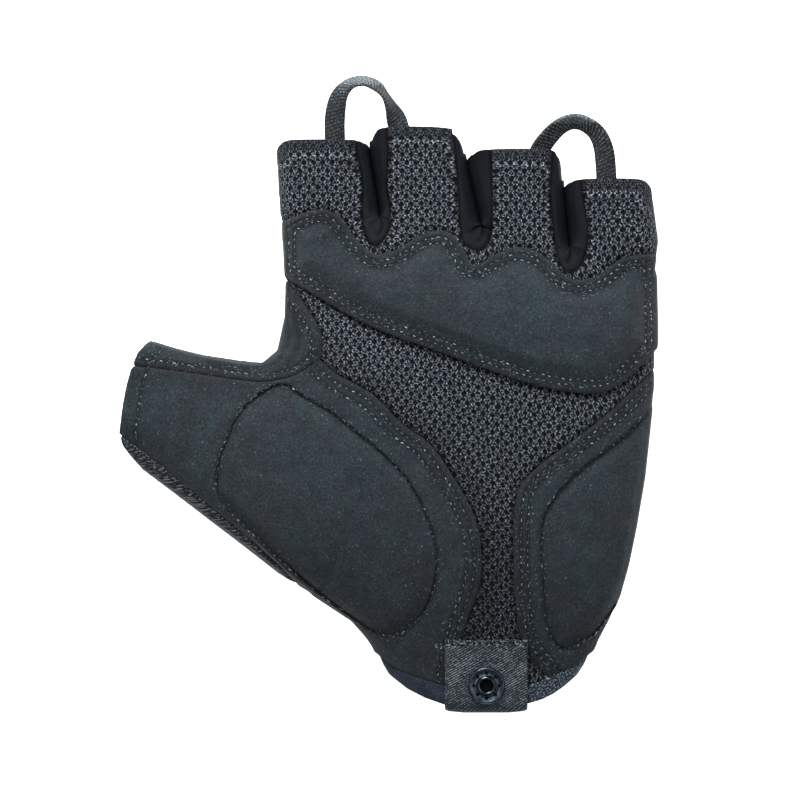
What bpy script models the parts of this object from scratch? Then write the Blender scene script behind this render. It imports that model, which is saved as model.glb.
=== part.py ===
# A left-hand half-finger cycling glove that lies on its back with the palm up.
# +X runs to the little finger, +Y to the fingertips and +Z out of the palm.
# The tables and sizes are in millimetres, and MM turns them into metres.
import math
from collections import namedtuple

import bmesh
import bpy
from mathutils import Vector
from mathutils.bvhtree import BVHTree

MM = 0.001

# Driving sizes
WALL = 1.6
GAP = 0.3
SEAM_HEIGHT = 9.0
ROUNDNESS = 2.4
SLIT_HALF = 0.4
FINGER_TOP = 16.6
FINGER_LOW = -0.6
PALM_LOW = -1.5
PAD_RISE = 1.2
PAD_SIDE_RISE = 0.3
KNUCKLE_THICK = 1.6
KNUCKLE_SIDE = 0.7
REACH = 4.0
CUT_LOW = -10.0
CUT_HIGH = 60.0
CURVE_STEPS = 2
WELD = 0.02
FLAT_ANGLE = 1.5
SHARP_ANGLE = 35.0
FAR = 140.0
FIELD = [(-FAR, -FAR), (FAR, -FAR), (FAR, FAR), (-FAR, FAR)]
FINGER_PAST_SHARE = 0.2
PAD_START = 0.5
CORNER_STEPS = 3
NEAREST_CORNERS = 0.2
PALM_SIDES = (20, 8)
THUMB_SIDES = (10, 6)
FINGER_SIDES = (10, 6)

# The palm's cross ribs from the wrist to the finger crotches. Each runs from a
# left to a right point of the outline, is so high, and has a low side. A rib's
# web share draws the inner form back, where the glove closes between fingers.
Rib = namedtuple("Rib", "left_x left_y right_x right_y top low web")
palm_ribs = [
    Rib(7.0, -93.0, 42.0, -93.0, 16.6, 0.2, 0),
    Rib(1.8, -79.0, 47.5, -79.0, 17.3, -0.4, 0),
    Rib(-0.4, -73.6, 50.4, -74.0, 17.8, -0.8, 0),
    Rib(-4.4, -67.0, 54.8, -67.0, 18.6, -1.0, 0),
    Rib(-9.7, -60.3, 58.5, -60.0, 20.2, PALM_LOW, 0),
    Rib(-19.3, -53.6, 61.3, -53.6, 21.6, PALM_LOW, 0),
    Rib(-27.5, -45.0, 63.6, -45.2, 23.0, PALM_LOW, 0),
    Rib(-38.0, -34.0, 65.7, -35.0, 24.2, PALM_LOW, 0),
    Rib(-46.5, -22.0, 67.9, -22.0, 25.0, PALM_LOW, 0),
    Rib(-48.5, -9.0, 69.3, -9.0, 25.0, PALM_LOW, 0),
    Rib(-41.0, 2.0, 70.5, 2.0, 24.6, PALM_LOW, 0),
    Rib(-29.8, 11.5, 70.6, 11.0, 23.6, PALM_LOW, 0),
    Rib(-27.5, 20.0, 70.6, 18.5, 22.4, PALM_LOW, 0),
    Rib(-27.2, 28.0, 70.5, 24.0, 21.0, PALM_LOW, 0),
    Rib(-27.6, 36.0, 70.4, 28.5, 19.6, -1.2, 0),
    Rib(-28.1, 43.6, 70.4, 30.5, 18.2, -0.8, 0),
    Rib(-27.8, 48.0, 70.2, 32.4, 16.8, 0.2, 0.5),
    Rib(-26.0, 50.6, 69.0, 34.6, 14.4, 2.6, 1),
    Rib(-25.4, 52.0, 68.4, 36.4, 11.4, 6.6, 1),
]

# The thumb's ribs from past its opening into the palm, outer edge to lower edge.
thumb_ribs = [
    Rib(-82.0, -7.0, -74.0, 16.3, 16.4, -0.4, 0),
    Rib(-72.1, -15.1, -62.6, 13.9, 16.8, -0.6, 0),
    Rib(-65.1, -20.3, -56.0, 11.9, 17.8, -0.9, 0),
    Rib(-58.3, -25.4, -49.4, 10.3, 18.8, -1.0, 0),
    Rib(-47.8, -33.4, -39.5, 8.8, 21.2, -1.2, 0),
    Rib(-39.1, -39.8, -31.0, 8.0, 23.0, PALM_LOW, 0),
    Rib(-28.9, -47.3, -22.0, 0.5, 24.0, PALM_LOW, 0),
    Rib(-18.6, -53.6, -10.0, -11.0, 23.4, -0.5, 0),
    Rib(-5.0, -45.0, 2.0, -20.0, 18.0, 3.0, 0),
]

# A finger runs between two lines, from the crotch up to the fingertip edge.
Finger = namedtuple(
    "Finger", "left_x left_y right_x right_y tip_left_x tip_left_y tip_right_x tip_right_y"
)
fingers = {
    "index": Finger(-29.4, 49.4, -2.4, 47.9, -30.3, 64.4, -5.2, 64.4),
    "middle": Finger(-2.4, 47.9, 24.4, 45.8, -5.2, 64.4, 20.8, 61.2),
    "ring": Finger(24.4, 45.8, 48.0, 39.7, 20.8, 61.2, 46.6, 54.3),
    "little": Finger(48.0, 39.7, 71.1, 41.0, 46.6, 54.3, 70.3, 53.6),
}

# Stations along a finger: share of the way from crotch to tip, how much slimmer
# each side is there, and how high and low the finger reaches.
Station = namedtuple("Station", "share slim top low")
finger_stations = [
    Station(-1.15, 3.2, 13.0, 4.0),
    Station(-0.5, 1.6, 15.6, 1.0),
    Station(-0.05, SLIT_HALF, FINGER_TOP, FINGER_LOW),
    Station(0.45, SLIT_HALF, FINGER_TOP, FINGER_LOW),
    Station(1.0, SLIT_HALF, FINGER_TOP - 0.4, FINGER_LOW),
    Station(2.0, SLIT_HALF, FINGER_TOP - 0.6, FINGER_LOW),
]

# The fingertip edge of each finger: its top line and the size of its two corners.
Tip = namedtuple("Tip", "left_x right_x side_y top_y left_in left_down right_in right_down")
tips = [
    Tip(-30.0, -5.2, 64.1, 67.3, 3.8, 3.6, 4.8, 2.9),
    Tip(-5.2, 20.3, 64.4, 70.7, 4.8, 6.3, 4.6, 9.5),
    Tip(20.8, 46.7, 61.2, 64.8, 6.4, 3.6, 3.0, 10.5),
    Tip(46.7, 70.2, 54.3, 56.9, 5.4, 2.8, 3.8, 4.5),
]

# Soft crowns and dents of the palm side: centre, two radii, turn and rise.
Relief = namedtuple("Relief", "x y along across turn rise")
reliefs = {
    "thenar_pad": Relief(-17.0, -31.0, 27.0, 17.0, -52.0, 1.8),
    "heel_pad": Relief(55.0, -34.0, 27.0, 12.0, 85.0, 1.2),
    "knuckle_roll": Relief(20.0, 23.0, 48.0, 9.0, -16.0, 0.9),
    "palm_hollow": Relief(22.0, -12.0, 28.0, 13.0, -62.0, -3.4),
    "wrist_hollow": Relief(28.0, -52.0, 16.0, 8.0, 90.0, -1.8),
    "crotch_fold": Relief(-32.0, 3.5, 11.0, 3.6, 12.0, -1.3),
}

# Seam lines of the palm side.
knuckle_top = [
    (-34.0, 45.5), (-27.0, 46.3), (-18.9, 48.9), (-13.1, 47.1), (-9.5, 42.0), (-3.7, 36.9),
    (2.5, 38.5), (9.0, 42.4), (15.2, 43.1), (19.6, 38.4), (22.3, 33.9), (28.6, 37.2),
    (33.9, 38.9), (39.9, 37.2), (44.2, 33.6), (48.4, 30.4), (54.6, 31.0), (62.3, 36.1),
    (70.6, 37.2), (78.0, 37.2),
]
knuckle_low = [
    (78.0, 19.0), (71.4, 12.2), (64.0, 4.9), (57.5, 0.8), (49.8, 0.3), (35.7, 3.1),
    (14.6, 10.6), (-4.6, 17.7), (-20.9, 26.9), (-26.2, 30.4), (-34.0, 35.6),
]
crotch_low = [
    (-80.0, 8.6), (-66.9, 7.4), (-54.3, 5.8), (-39.0, 3.6), (-33.1, 3.2), (-25.6, 4.7),
    (-18.2, 9.0),
]
crotch_right = [
    (-18.2, 9.0), (-17.8, 12.4), (-18.0, 15.9), (-19.5, 19.4), (-22.7, 24.3), (-28.5, 32.0),
    (-36.0, 41.0),
]
thumb_edge = [
    (-18.2, 9.0), (-13.3, 4.9), (-4.5, 0.0), (3.0, -7.5), (10.4, -13.0), (16.0, -20.5),
    (22.3, -31.7), (24.5, -42.8), (23.8, -51.5), (20.8, -60.0), (18.5, -68.0), (16.0, -80.0),
    (15.0, -98.0),
]
heel_edge = [
    (80.0, 15.5), (70.6, 6.9), (57.6, -5.3), (46.4, -13.9), (39.0, -19.5), (34.5, -24.7),
    (33.2, -31.0), (33.0, -38.8), (33.2, -50.0), (35.2, -65.2), (42.7, -76.5), (52.0, -98.0),
]
thumb_strip = [
    (-82.0, -3.0), (-64.7, -15.7), (-51.7, -26.1), (-38.2, -37.3), (-31.2, -43.5),
    (-24.2, -50.0), (-16.0, -59.0),
]
back_thumb_seam = [
    (-33.0, 13.5), (-27.0, 6.0), (-20.0, -10.0), (-16.0, -30.0), (-18.0, -48.0), (-22.0, -60.0),
]
thenar_pad = [
    (-29.3, 2.7), (-15.9, -4.2), (-1.1, -16.0), (10.3, -32.8), (12.4, -45.0), (7.8, -59.7),
    (-1.5, -64.1), (-18.2, -53.2), (-33.8, -39.5), (-44.2, -27.9), (-44.6, -16.0),
    (-38.6, -3.7),
]
heel_pad = [
    (77.0, 2.8), (62.4, -10.9), (51.2, -19.5), (42.4, -28.5), (40.4, -38.8), (40.6, -50.0),
    (42.5, -63.0), (47.8, -67.6), (55.1, -63.3), (64.0, -52.0), (78.0, -44.0),
]

# Fourchettes, the side gussets between two fingers, as they show from the palm.
fourchettes = {
    "fourchette_index_middle": [
        (-9.3, 80.0), (-8.8, 66.3), (-7.0, 55.6), (-7.2, 46.8), (-6.0, 41.4), (-3.6, 39.2),
        (-0.7, 42.1), (0.6, 47.4), (-0.6, 55.6), (-0.3, 64.5), (-1.4, 80.0),
    ],
    "fourchette_middle_ring": [
        (16.6, 80.0), (16.9, 69.0), (18.1, 58.0), (19.1, 43.0), (21.2, 38.9), (24.8, 38.3),
        (27.1, 42.5), (27.4, 54.0), (26.9, 63.8), (26.6, 80.0),
    ],
    "fourchette_ring_little": [
        (43.6, 80.0), (43.1, 61.0), (42.9, 52.2), (44.3, 38.5), (46.1, 33.4), (48.1, 32.2),
        (51.2, 34.6), (52.9, 41.6), (52.0, 49.5), (51.1, 56.0), (50.8, 80.0),
    ],
}

# Opening edges: where the thumb ends, and the cuff's palm and back edges.
thumb_mouth = [
    (-59.4, 21.0), (-63.2, 14.4), (-66.6, 10.8), (-69.4, 2.5), (-71.2, -8.5), (-70.6, -13.6),
    (-66.3, -18.9), (-60.0, -28.0),
]
cuff_edge_front = [
    (-20.0, -62.0), (-0.9, -73.6), (5.0, -78.1), (14.8, -82.2), (25.8, -83.0), (36.8, -81.9),
    (43.6, -79.4), (50.4, -74.2), (68.0, -60.0),
]
cuff_edge_back = [
    (-20.0, -72.6), (-0.9, -73.6), (25.8, -76.0), (50.4, -74.2), (68.0, -72.4),
]
binding_edge_front = [
    (-20.0, -57.5), (-3.4, -69.2), (2.9, -73.4), (14.8, -77.4), (25.8, -78.3), (36.8, -77.2),
    (46.6, -73.4), (53.3, -69.4), (68.0, -57.0),
]
binding_edge_back = [
    (-20.0, -68.2), (-3.4, -69.2), (25.8, -71.4), (53.3, -69.4), (68.0, -67.8),
]

# Pull tab and snap
TAB_LEFT = 14.8
TAB_RIGHT = 36.7
TAB_TOP = -65.0
TAB_BOTTOM = -84.7
TAB_THICK = 1.2
TAB_INSIDE_TOP = -71.0
TAB_ROW_STEP = 2.0
TAB_LAST_ROW = -81.6
TAB_FOLD_STEPS = 8
# How the fold draws back towards the tab's two corners
Bow = namedtuple("Bow", "inset lift")
tab_bow = [Bow(0.0, 0.9), Bow(0.4, 0.7), Bow(1.3, 0.45), Bow(5.0, 0.1)]

SNAP_X = 25.8
SNAP_Y = -77.2
SNAP_RADIUS = 4.9
SNAP_FLANGE = 0.8
SNAP_LIP = 0.5
SNAP_LIP_RADIUS = 2.4
SNAP_HOLE = 1.6
SNAP_BARREL = 2.1
SNAP_WASHER_RADIUS = 4.0
SNAP_WASHER = 0.6
SNAP_DOTS = 8
SNAP_DOT_RING = 3.45
SNAP_DOT_RADIUS = 0.45
SNAP_BEVEL = 0.35
SNAP_BEVEL_IN = 0.1
SNAP_LIP_BEVEL = 0.2
SNAP_DOT_SIDES = 6
SNAP_SIDES = 24
HOLE_SIDES = 16

# Pull loops between the fingertips: route, height and tilt of the ribbon, which
# is 0 where it lies flat and 90 where it stands on edge.
LOOP_WIDTH = 5.6
LOOP_THICK = 0.9
Route = namedtuple("Route", "x y z tilt")
loops = {
    "loop_index_middle": [
        Route(-14.4, 59.5, 13.1, -6), Route(-14.4, 67.0, 12.9, -7), Route(-14.4, 73.5, 13.0, 10),
        Route(-13.3, 79.2, 12.9, 38), Route(-10.6, 82.4, 12.5, 57), Route(-6.9, 83.3, 12.3, 62),
        Route(-3.4, 82.0, 12.3, 60), Route(-0.9, 79.2, 12.5, 70), Route(0.9, 75.8, 12.9, 50),
        Route(2.6, 71.0, 12.7, -3), Route(3.8, 66.0, 12.9, -6), Route(4.8, 61.0, 13.0, -6),
    ],
    "loop_ring_little": [
        Route(38.2, 57.5, 12.6, -12), Route(39.2, 62.0, 12.0, -19), Route(40.5, 65.6, 11.6, -27),
        Route(43.7, 69.6, 12.0, -37), Route(46.6, 71.8, 12.2, -45), Route(49.6, 72.5, 12.4, -48),
        Route(52.7, 71.5, 12.7, -46), Route(55.4, 69.1, 13.0, -38), Route(57.0, 65.3, 13.2, -24),
        Route(57.6, 60.5, 13.2, -5), Route(57.8, 55.0, 13.1, 0), Route(57.6, 50.0, 13.2, 0),
    ],
}

# Colours as (red, green, blue, roughness, metallic)
knit = (0.065, 0.070, 0.085, 0.85, 0.0)
suede = (0.030, 0.039, 0.047, 0.95, 0.0)
lycra = (0.012, 0.018, 0.025, 0.6, 0.0)
elastic = (0.026, 0.034, 0.058, 0.8, 0.0)
webbing = (0.060, 0.078, 0.095, 0.85, 0.0)
ribbon = (0.045, 0.045, 0.052, 0.85, 0.0)
gunmetal = (0.030, 0.038, 0.046, 0.35, 0.9)


def make_object(name, mesh):
    obj = bpy.data.objects.new(name, mesh)
    bpy.context.collection.objects.link(obj)
    return obj


def object_from(name, points, faces):
    bm = bmesh.new()
    corners = [bm.verts.new(Vector(point) * MM) for point in points]
    for face in faces:
        bm.faces.new([corners[index] for index in face])
    bmesh.ops.triangulate(bm, faces=bm.faces[:])
    bmesh.ops.recalc_face_normals(bm, faces=bm.faces[:])
    mesh = bpy.data.meshes.new(name)
    bm.to_mesh(mesh)
    bm.free()
    return make_object(name, mesh)


def tube_faces(rings, sides):
    faces = []
    for row in range(rings - 1):
        for side in range(sides):
            after = (side + 1) % sides
            low, high = row * sides, (row + 1) * sides
            faces.append((low + side, low + after, high + after, high + side))
    faces.append(tuple(range(sides)))
    faces.append(tuple(range((rings - 1) * sides, rings * sides)))
    return faces


# Welds points closer than a hair and joins the flat faces that a cut leaves
def tidy(obj):
    bm = bmesh.new()
    bm.from_mesh(obj.data)
    bmesh.ops.remove_doubles(bm, verts=bm.verts[:], dist=WELD * MM)
    bmesh.ops.dissolve_degenerate(bm, edges=bm.edges[:], dist=WELD * MM)
    bmesh.ops.dissolve_limit(
        bm, angle_limit=math.radians(FLAT_ANGLE), verts=bm.verts[:], edges=bm.edges[:]
    )
    bmesh.ops.triangulate(bm, faces=bm.faces[:])
    bm.to_mesh(obj.data)
    bm.free()


def apply_boolean(target, other, operation):
    modifier = target.modifiers.new("cut", "BOOLEAN")
    modifier.operation = operation
    modifier.solver = "EXACT"
    modifier.object = other
    bpy.context.view_layer.objects.active = target
    bpy.ops.object.modifier_apply(modifier=modifier.name)
    tidy(target)


def remove(*objects):
    for obj in objects:
        bpy.data.objects.remove(obj)


def combine(target, other, operation):
    apply_boolean(target, other, operation)
    remove(other)
    return target


def copy_of(obj, name):
    return make_object(name, obj.data.copy())


# Catmull-Rom curve through a short list of points
def smooth(points, steps=CURVE_STEPS):
    spots = [Vector(point) for point in points]
    out = []
    for index in range(len(spots) - 1):
        p1, p2 = spots[index], spots[index + 1]
        p0 = spots[index - 1] if index else p1 * 2 - p2
        p3 = spots[index + 2] if index + 2 < len(spots) else p2 * 2 - p1
        for step in range(steps):
            t = step / steps
            out.append(
                (
                    p1 * 2
                    + (p2 - p0) * t
                    + (p0 * 2 - p1 * 5 + p2 * 4 - p3) * t**2
                    + (p1 * 3 - p0 - p2 * 3 + p3) * t**3
                )
                * 0.5
            )
    out.append(spots[-1])
    return out


def closed_curve(points, steps=CURVE_STEPS):
    padded = [points[-1], *points, points[0], points[1]]
    return smooth(padded, steps)[steps : -steps - 1]


def signed_area(outline):
    pairs = zip(outline, outline[1:] + outline[:1])
    return sum(a[0] * b[1] - b[0] * a[1] for a, b in pairs) / 2


# Moves an outline outwards by a small distance along its corner normals.
def grown(outline, distance):
    sign = 1 if signed_area(outline) > 0 else -1
    count = len(outline)
    out = []
    for index, point in enumerate(outline):
        before = (Vector(point) - Vector(outline[index - 1])).normalized()
        after = (Vector(outline[(index + 1) % count]) - Vector(point)).normalized()
        middle = (before + after).normalized()
        normal = Vector((middle.y, -middle.x)) * sign
        stretch = max(0.5, middle.dot(after))
        out.append(Vector(point) + normal * distance / stretch)
    return out


def prism(name, outline, low=CUT_LOW, high=CUT_HIGH):
    count = len(outline)
    points = [(p[0], p[1], low) for p in outline] + [(p[0], p[1], high) for p in outline]
    sides = [(k, (k + 1) % count, count + (k + 1) % count, count + k) for k in range(count)]
    faces = [tuple(range(count)), tuple(range(count, 2 * count)), *sides]
    return object_from(name, points, faces)


def relief_height(x, y):
    total = 0.0
    for row in reliefs.values():
        turn = math.radians(row.turn)
        dx, dy = x - row.x, y - row.y
        along = (dx * math.cos(turn) + dy * math.sin(turn)) / row.along
        across = (dy * math.cos(turn) - dx * math.sin(turn)) / row.across
        total += row.rise * math.exp(-(along**2) - across**2)
    return total


# One closed ring in the upright plane through a rib. Its widest points lie on
# the side seams, and the dense upper half carries the crowns and dents.
def ring_points(rib, side_grow, top_grow, low_grow, upper, lower):
    left = Vector((rib.left_x, rib.left_y))
    right = Vector((rib.right_x, rib.right_y))
    centre = (left + right) / 2
    along = (right - left).normalized()
    half = (right - left).length / 2 + side_grow
    turns = [math.pi * k / upper for k in range(upper)]
    turns += [math.pi + math.pi * k / lower for k in range(lower)]
    points = []
    for turn in turns:
        across = math.cos(turn)
        lift = (1 - abs(across) ** ROUNDNESS) ** (1 / ROUNDNESS) if abs(across) < 1 else 0.0
        spot = centre + along * half * across
        if turn <= math.pi:
            top = rib.top + top_grow + relief_height(spot.x, spot.y)
            height = SEAM_HEIGHT + lift * (top - SEAM_HEIGHT)
        else:
            height = SEAM_HEIGHT - lift * (SEAM_HEIGHT - rib.low + low_grow)
        points.append((spot.x, spot.y, height))
    return points


def loft(name, ribs, side_grow, top_grow, low_grow, upper, lower):
    points = []
    for rib in ribs:
        points += ring_points(rib, side_grow, top_grow, low_grow, upper, lower)
    return object_from(name, points, tube_faces(len(ribs), upper + lower))


def finger_ribs(finger, past):
    ribs = []
    left_low = Vector((finger.left_x, finger.left_y))
    left_tip = Vector((finger.tip_left_x, finger.tip_left_y))
    right_low = Vector((finger.right_x, finger.right_y))
    right_tip = Vector((finger.tip_right_x, finger.tip_right_y))
    for station in finger_stations:
        share = station.share + (past if station is finger_stations[-1] else 0.0)
        left = left_low.lerp(left_tip, share)
        right = right_low.lerp(right_tip, share)
        inward = (right - left).normalized() * station.slim
        left, right = left + inward, right - inward
        ribs.append(Rib(left.x, left.y, right.x, right.y, station.top, station.low, 0))
    return ribs


# The glove's closed form, grown or drawn in by a distance and cut level at the
# height where it rests. The inner form stops a wall short of the crotches and
# runs on past every opening.
def hand_form(name, side_grow, top_grow, floor, with_thumb=True):
    low_grow = min(side_grow, 0.0)
    back = WALL if side_grow < 0 else 0.0
    past = REACH if side_grow < 0 else 0.0
    ribs = [
        rib._replace(left_y=rib.left_y - rib.web * back, right_y=rib.right_y - rib.web * back)
        for rib in palm_ribs
    ]
    ribs[0] = ribs[0]._replace(left_y=ribs[0].left_y - past, right_y=ribs[0].right_y - past)
    first = thumb_ribs[0]
    first = first._replace(left_x=first.left_x - past, right_x=first.right_x - past)
    form = loft(name, ribs, side_grow, top_grow, low_grow, *PALM_SIDES)
    if with_thumb:
        other = loft("thumb", [first, *thumb_ribs[1:]], side_grow, top_grow, low_grow, *THUMB_SIDES)
        combine(form, other, "UNION")
    beyond = FINGER_PAST_SHARE if side_grow < 0 else 0.0
    for label, finger in fingers.items():
        other = loft(label, finger_ribs(finger, beyond), side_grow, top_grow, low_grow, *FINGER_SIDES)
        combine(form, other, "UNION")
    floor_slab = prism("floor", FIELD, CUT_LOW, floor)
    return combine(form, floor_slab, "DIFFERENCE")


def quarter(centre, wide, high, start):
    turns = [start + math.pi / 2 * k / CORNER_STEPS for k in range(CORNER_STEPS + 1)]
    return [(centre[0] + wide * math.cos(t), centre[1] + high * math.sin(t)) for t in turns]


# Everything past the fingertip edges, with each finger's rounded corners
def fingertip_cutter():
    outline = [(-60.0, 110.0), (-60.0, tips[0].side_y)]
    for tip in tips:
        left = (tip.left_x + tip.left_in, tip.top_y - tip.left_down)
        right = (tip.right_x - tip.right_in, tip.top_y - tip.right_down)
        outline += reversed(quarter(left, tip.left_in, tip.left_down, math.pi / 2))
        outline += reversed(quarter(right, tip.right_in, tip.right_down, 0.0))
    last = tips[-1]
    outline += [(100.0, last.top_y - last.right_down), (100.0, 110.0)]
    kept = [outline[0]]
    for point in outline[1:]:
        if (Vector(point) - Vector(kept[-1])).length > NEAREST_CORNERS:
            kept.append(point)
    return prism("fingertips", kept)


def thumb_mouth_cutter():
    return prism("thumb_end", smooth(thumb_mouth) + [(-120.0, -28.0), (-120.0, 21.0)])


# Everything below a front line on the palm side and a back line under the seam
def below_lines(name, front, back, shift):
    front_line = [p + Vector((0.0, shift)) for p in smooth(front)]
    back_line = [p + Vector((0.0, shift)) for p in smooth(back)]
    front_outline = front_line + [(front[-1][0], -FAR), (front[0][0], -FAR)]
    back_outline = back_line + [(back[-1][0], -FAR), (back[0][0], -FAR)]
    upper = prism(name, front_outline, SEAM_HEIGHT, CUT_HIGH)
    lower = prism("lower", back_outline, CUT_LOW, SEAM_HEIGHT + GAP)
    return combine(upper, lower, "UNION")


def colour(obj, values):
    material = bpy.data.materials.new(obj.name)
    material.use_nodes = True
    shader = material.node_tree.nodes["Principled BSDF"]
    shader.inputs["Base Color"].default_value = (*values[:3], 1.0)
    shader.inputs["Roughness"].default_value = values[3]
    shader.inputs["Metallic"].default_value = values[4]
    obj.data.materials.clear()
    obj.data.materials.append(material)


def finished(obj, values):
    obj.data.shade_smooth()
    obj.data.set_sharp_from_angle(angle=math.radians(SHARP_ANGLE))
    colour(obj, values)
    return obj


# Region outlines on the palm side
def regions():
    crotch = smooth(crotch_low)
    right = smooth(crotch_right)[1:]
    thumb = smooth(thumb_edge)[1:]
    strip = smooth(thumb_strip)
    heel = smooth(heel_edge)
    knuckle = smooth(knuckle_top) + smooth(knuckle_low)
    left_side = right[::-1] + [crotch[-1]] + thumb
    return {
        "crotch": crotch + right + [(-60.0, 60.0), (-FAR, 60.0), (-FAR, 8.6)],
        "left_side": left_side + [(15.0, -FAR), (-FAR, -FAR), (-FAR, 60.0), (-60.0, 60.0)],
        "strip": strip + [(-17.0, -FAR), (-FAR, -FAR), (-FAR, -3.0)],
        "heel": heel + [(52.0, -FAR), (FAR, -FAR), (FAR, 15.5)],
        "knuckle": knuckle,
        "back_thumb": smooth(back_thumb_seam) + [(-FAR, -60.0), (-FAR, 60.0), (-33.0, 60.0)],
    }


def build_walls():
    areas = regions()
    outer = hand_form("outer", 0.0, 0.0, 0.0)
    inner = hand_form("inner", -WALL, -WALL, WALL)
    raised = hand_form("raised", PAD_SIDE_RISE, PAD_RISE, 0.0)
    pads = prism("pads", closed_curve(thenar_pad), SEAM_HEIGHT + PAD_START)
    heel = prism("heel_pad_area", smooth(heel_pad), SEAM_HEIGHT + PAD_START)
    pads = combine(pads, heel, "UNION")
    raised = combine(raised, pads, "INTERSECT")
    shell = copy_of(outer, "shell")
    combine(shell, raised, "UNION")
    apply_boolean(shell, inner, "DIFFERENCE")
    for cutter in (fingertip_cutter(), thumb_mouth_cutter()):
        combine(shell, cutter, "DIFFERENCE")
    combine(shell, below_lines("cuff_end", cuff_edge_front, cuff_edge_back, 0.0), "DIFFERENCE")

    binding = copy_of(shell, "cuff_binding")
    band = below_lines("band", binding_edge_front, binding_edge_back, 0.0)
    combine(binding, band, "INTERSECT")
    finished(binding, elastic)
    band = below_lines("band", binding_edge_front, binding_edge_back, GAP)
    combine(shell, band, "DIFFERENCE")

    for name, points in fourchettes.items():
        gusset = copy_of(shell, name)
        combine(gusset, prism("area", smooth(points)), "INTERSECT")
        finished(gusset, lycra)
        combine(shell, prism("area", grown(smooth(points), GAP)), "DIFFERENCE")

    front = copy_of(shell, "front")
    combine(front, prism("lower", FIELD, CUT_LOW, SEAM_HEIGHT + GAP / 2), "DIFFERENCE")
    back = copy_of(shell, "back_panel")
    combine(back, prism("upper", FIELD, SEAM_HEIGHT - GAP / 2, CUT_HIGH), "DIFFERENCE")

    thumb_back = shell
    thumb_back.name = "thumb_back"
    zone = prism("zone", areas["back_thumb"], CUT_LOW, SEAM_HEIGHT - GAP / 2)
    zone = combine(zone, prism("strip", areas["strip"]), "UNION")
    combine(thumb_back, zone, "INTERSECT")
    finished(thumb_back, knit)
    combine(back, prism("zone", grown(areas["back_thumb"], GAP)), "DIFFERENCE")
    combine(back, prism("strip", grown(areas["strip"], GAP)), "DIFFERENCE")
    finished(back, lycra)

    crotch = copy_of(front, "crotch_strip")
    combine(crotch, prism("area", areas["crotch"]), "INTERSECT")
    finished(crotch, suede)
    thumb_panel = copy_of(front, "thumb_panel")
    combine(thumb_panel, prism("area", areas["left_side"]), "INTERSECT")
    combine(thumb_panel, prism("area", grown(areas["crotch"], GAP)), "DIFFERENCE")
    combine(thumb_panel, prism("area", grown(areas["strip"], GAP)), "DIFFERENCE")
    finished(thumb_panel, suede)
    heel_panel = copy_of(front, "heel_panel")
    combine(heel_panel, prism("area", areas["heel"]), "INTERSECT")
    finished(heel_panel, suede)
    palm_mesh = front
    palm_mesh.name = "palm_mesh"
    combine(palm_mesh, prism("area", grown(areas["left_side"], GAP)), "DIFFERENCE")
    combine(palm_mesh, prism("area", grown(areas["heel"], GAP)), "DIFFERENCE")
    finished(palm_mesh, knit)

    knuckle = hand_form("knuckle_panel", GAP + KNUCKLE_SIDE, GAP + KNUCKLE_THICK, 0.0, False)
    combine(knuckle, prism("area", areas["knuckle"], SEAM_HEIGHT + GAP / 2), "INTERSECT")
    combine(knuckle, hand_form("under", GAP, GAP, 0.0, False), "DIFFERENCE")
    finished(knuckle, suede)
    return outer, inner


# The height of a surface over a spot, seen from above or from inside upwards
def surface_height(tree, x, y, start, direction):
    hit = tree.ray_cast(Vector((x, y, start)) * MM, Vector((0.0, 0.0, direction)))
    return hit[0].z / MM


def surface_tree(obj):
    return BVHTree.FromObject(obj, bpy.context.evaluated_depsgraph_get())


# The pull tab is one webbing strip, folded over the cuff's palm edge.
def build_tab(outer_tree, inner_tree):
    xs = (TAB_LEFT, (TAB_LEFT + TAB_RIGHT) / 2, TAB_RIGHT)
    level_from = SNAP_Y + SNAP_RADIUS + TAB_ROW_STEP
    count = int((TAB_TOP - TAB_LAST_ROW) / TAB_ROW_STEP) + 1
    rows = [TAB_TOP - TAB_ROW_STEP * k for k in range(count)]
    heights = [
        max(surface_height(outer_tree, x, y, CUT_HIGH, -1.0) for x in xs) + GAP for y in rows
    ]
    pressed = max(height for y, height in zip(rows, heights) if y < level_from)
    outside = [(y, pressed if y < level_from else height) for y, height in zip(rows, heights)]
    rows = [y for y in rows if y < TAB_INSIDE_TOP]
    under = min(surface_height(inner_tree, x, y, SEAM_HEIGHT, 1.0) for x in xs for y in rows) - GAP
    inside = [(y, under) for y in rows]
    high, low = outside[-1][1], inside[-1][1]
    middle, radius = (high + low) / 2, (high - low) / 2
    nose = TAB_BOTTOM + TAB_THICK + radius
    fold = []
    for k in range(1, TAB_FOLD_STEPS):
        turn = math.pi * k / TAB_FOLD_STEPS
        fold.append((nose - radius * math.sin(turn), middle + radius * math.cos(turn)))
    outside = [row for row in outside if row[0] > nose + TAB_ROW_STEP]
    inside = [row for row in inside if row[0] > nose + TAB_ROW_STEP]
    line = outside + [(nose, high)] + fold + [(nose, low)] + inside[::-1]
    near = [Vector(p) for p in line]
    far = []
    for index, point in enumerate(near):
        before = near[max(index - 1, 0)]
        after = near[min(index + 1, len(near) - 1)]
        along = (after - before).normalized()
        far.append(point + Vector((along.y, -along.x)) * TAB_THICK)
    profile = near + far[::-1]
    stations = [(TAB_LEFT + bow.inset, bow.lift) for bow in tab_bow]
    stations += [(TAB_RIGHT - bow.inset, bow.lift) for bow in reversed(tab_bow)]
    points = []
    for x, lift in stations:
        points += [(x, p.x + (lift if p.x < nose + GAP else 0.0), p.y) for p in profile]
    tab = object_from("snap_tab", points, tube_faces(len(stations), len(profile)))
    return tab, high + TAB_THICK, low - TAB_THICK


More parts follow.
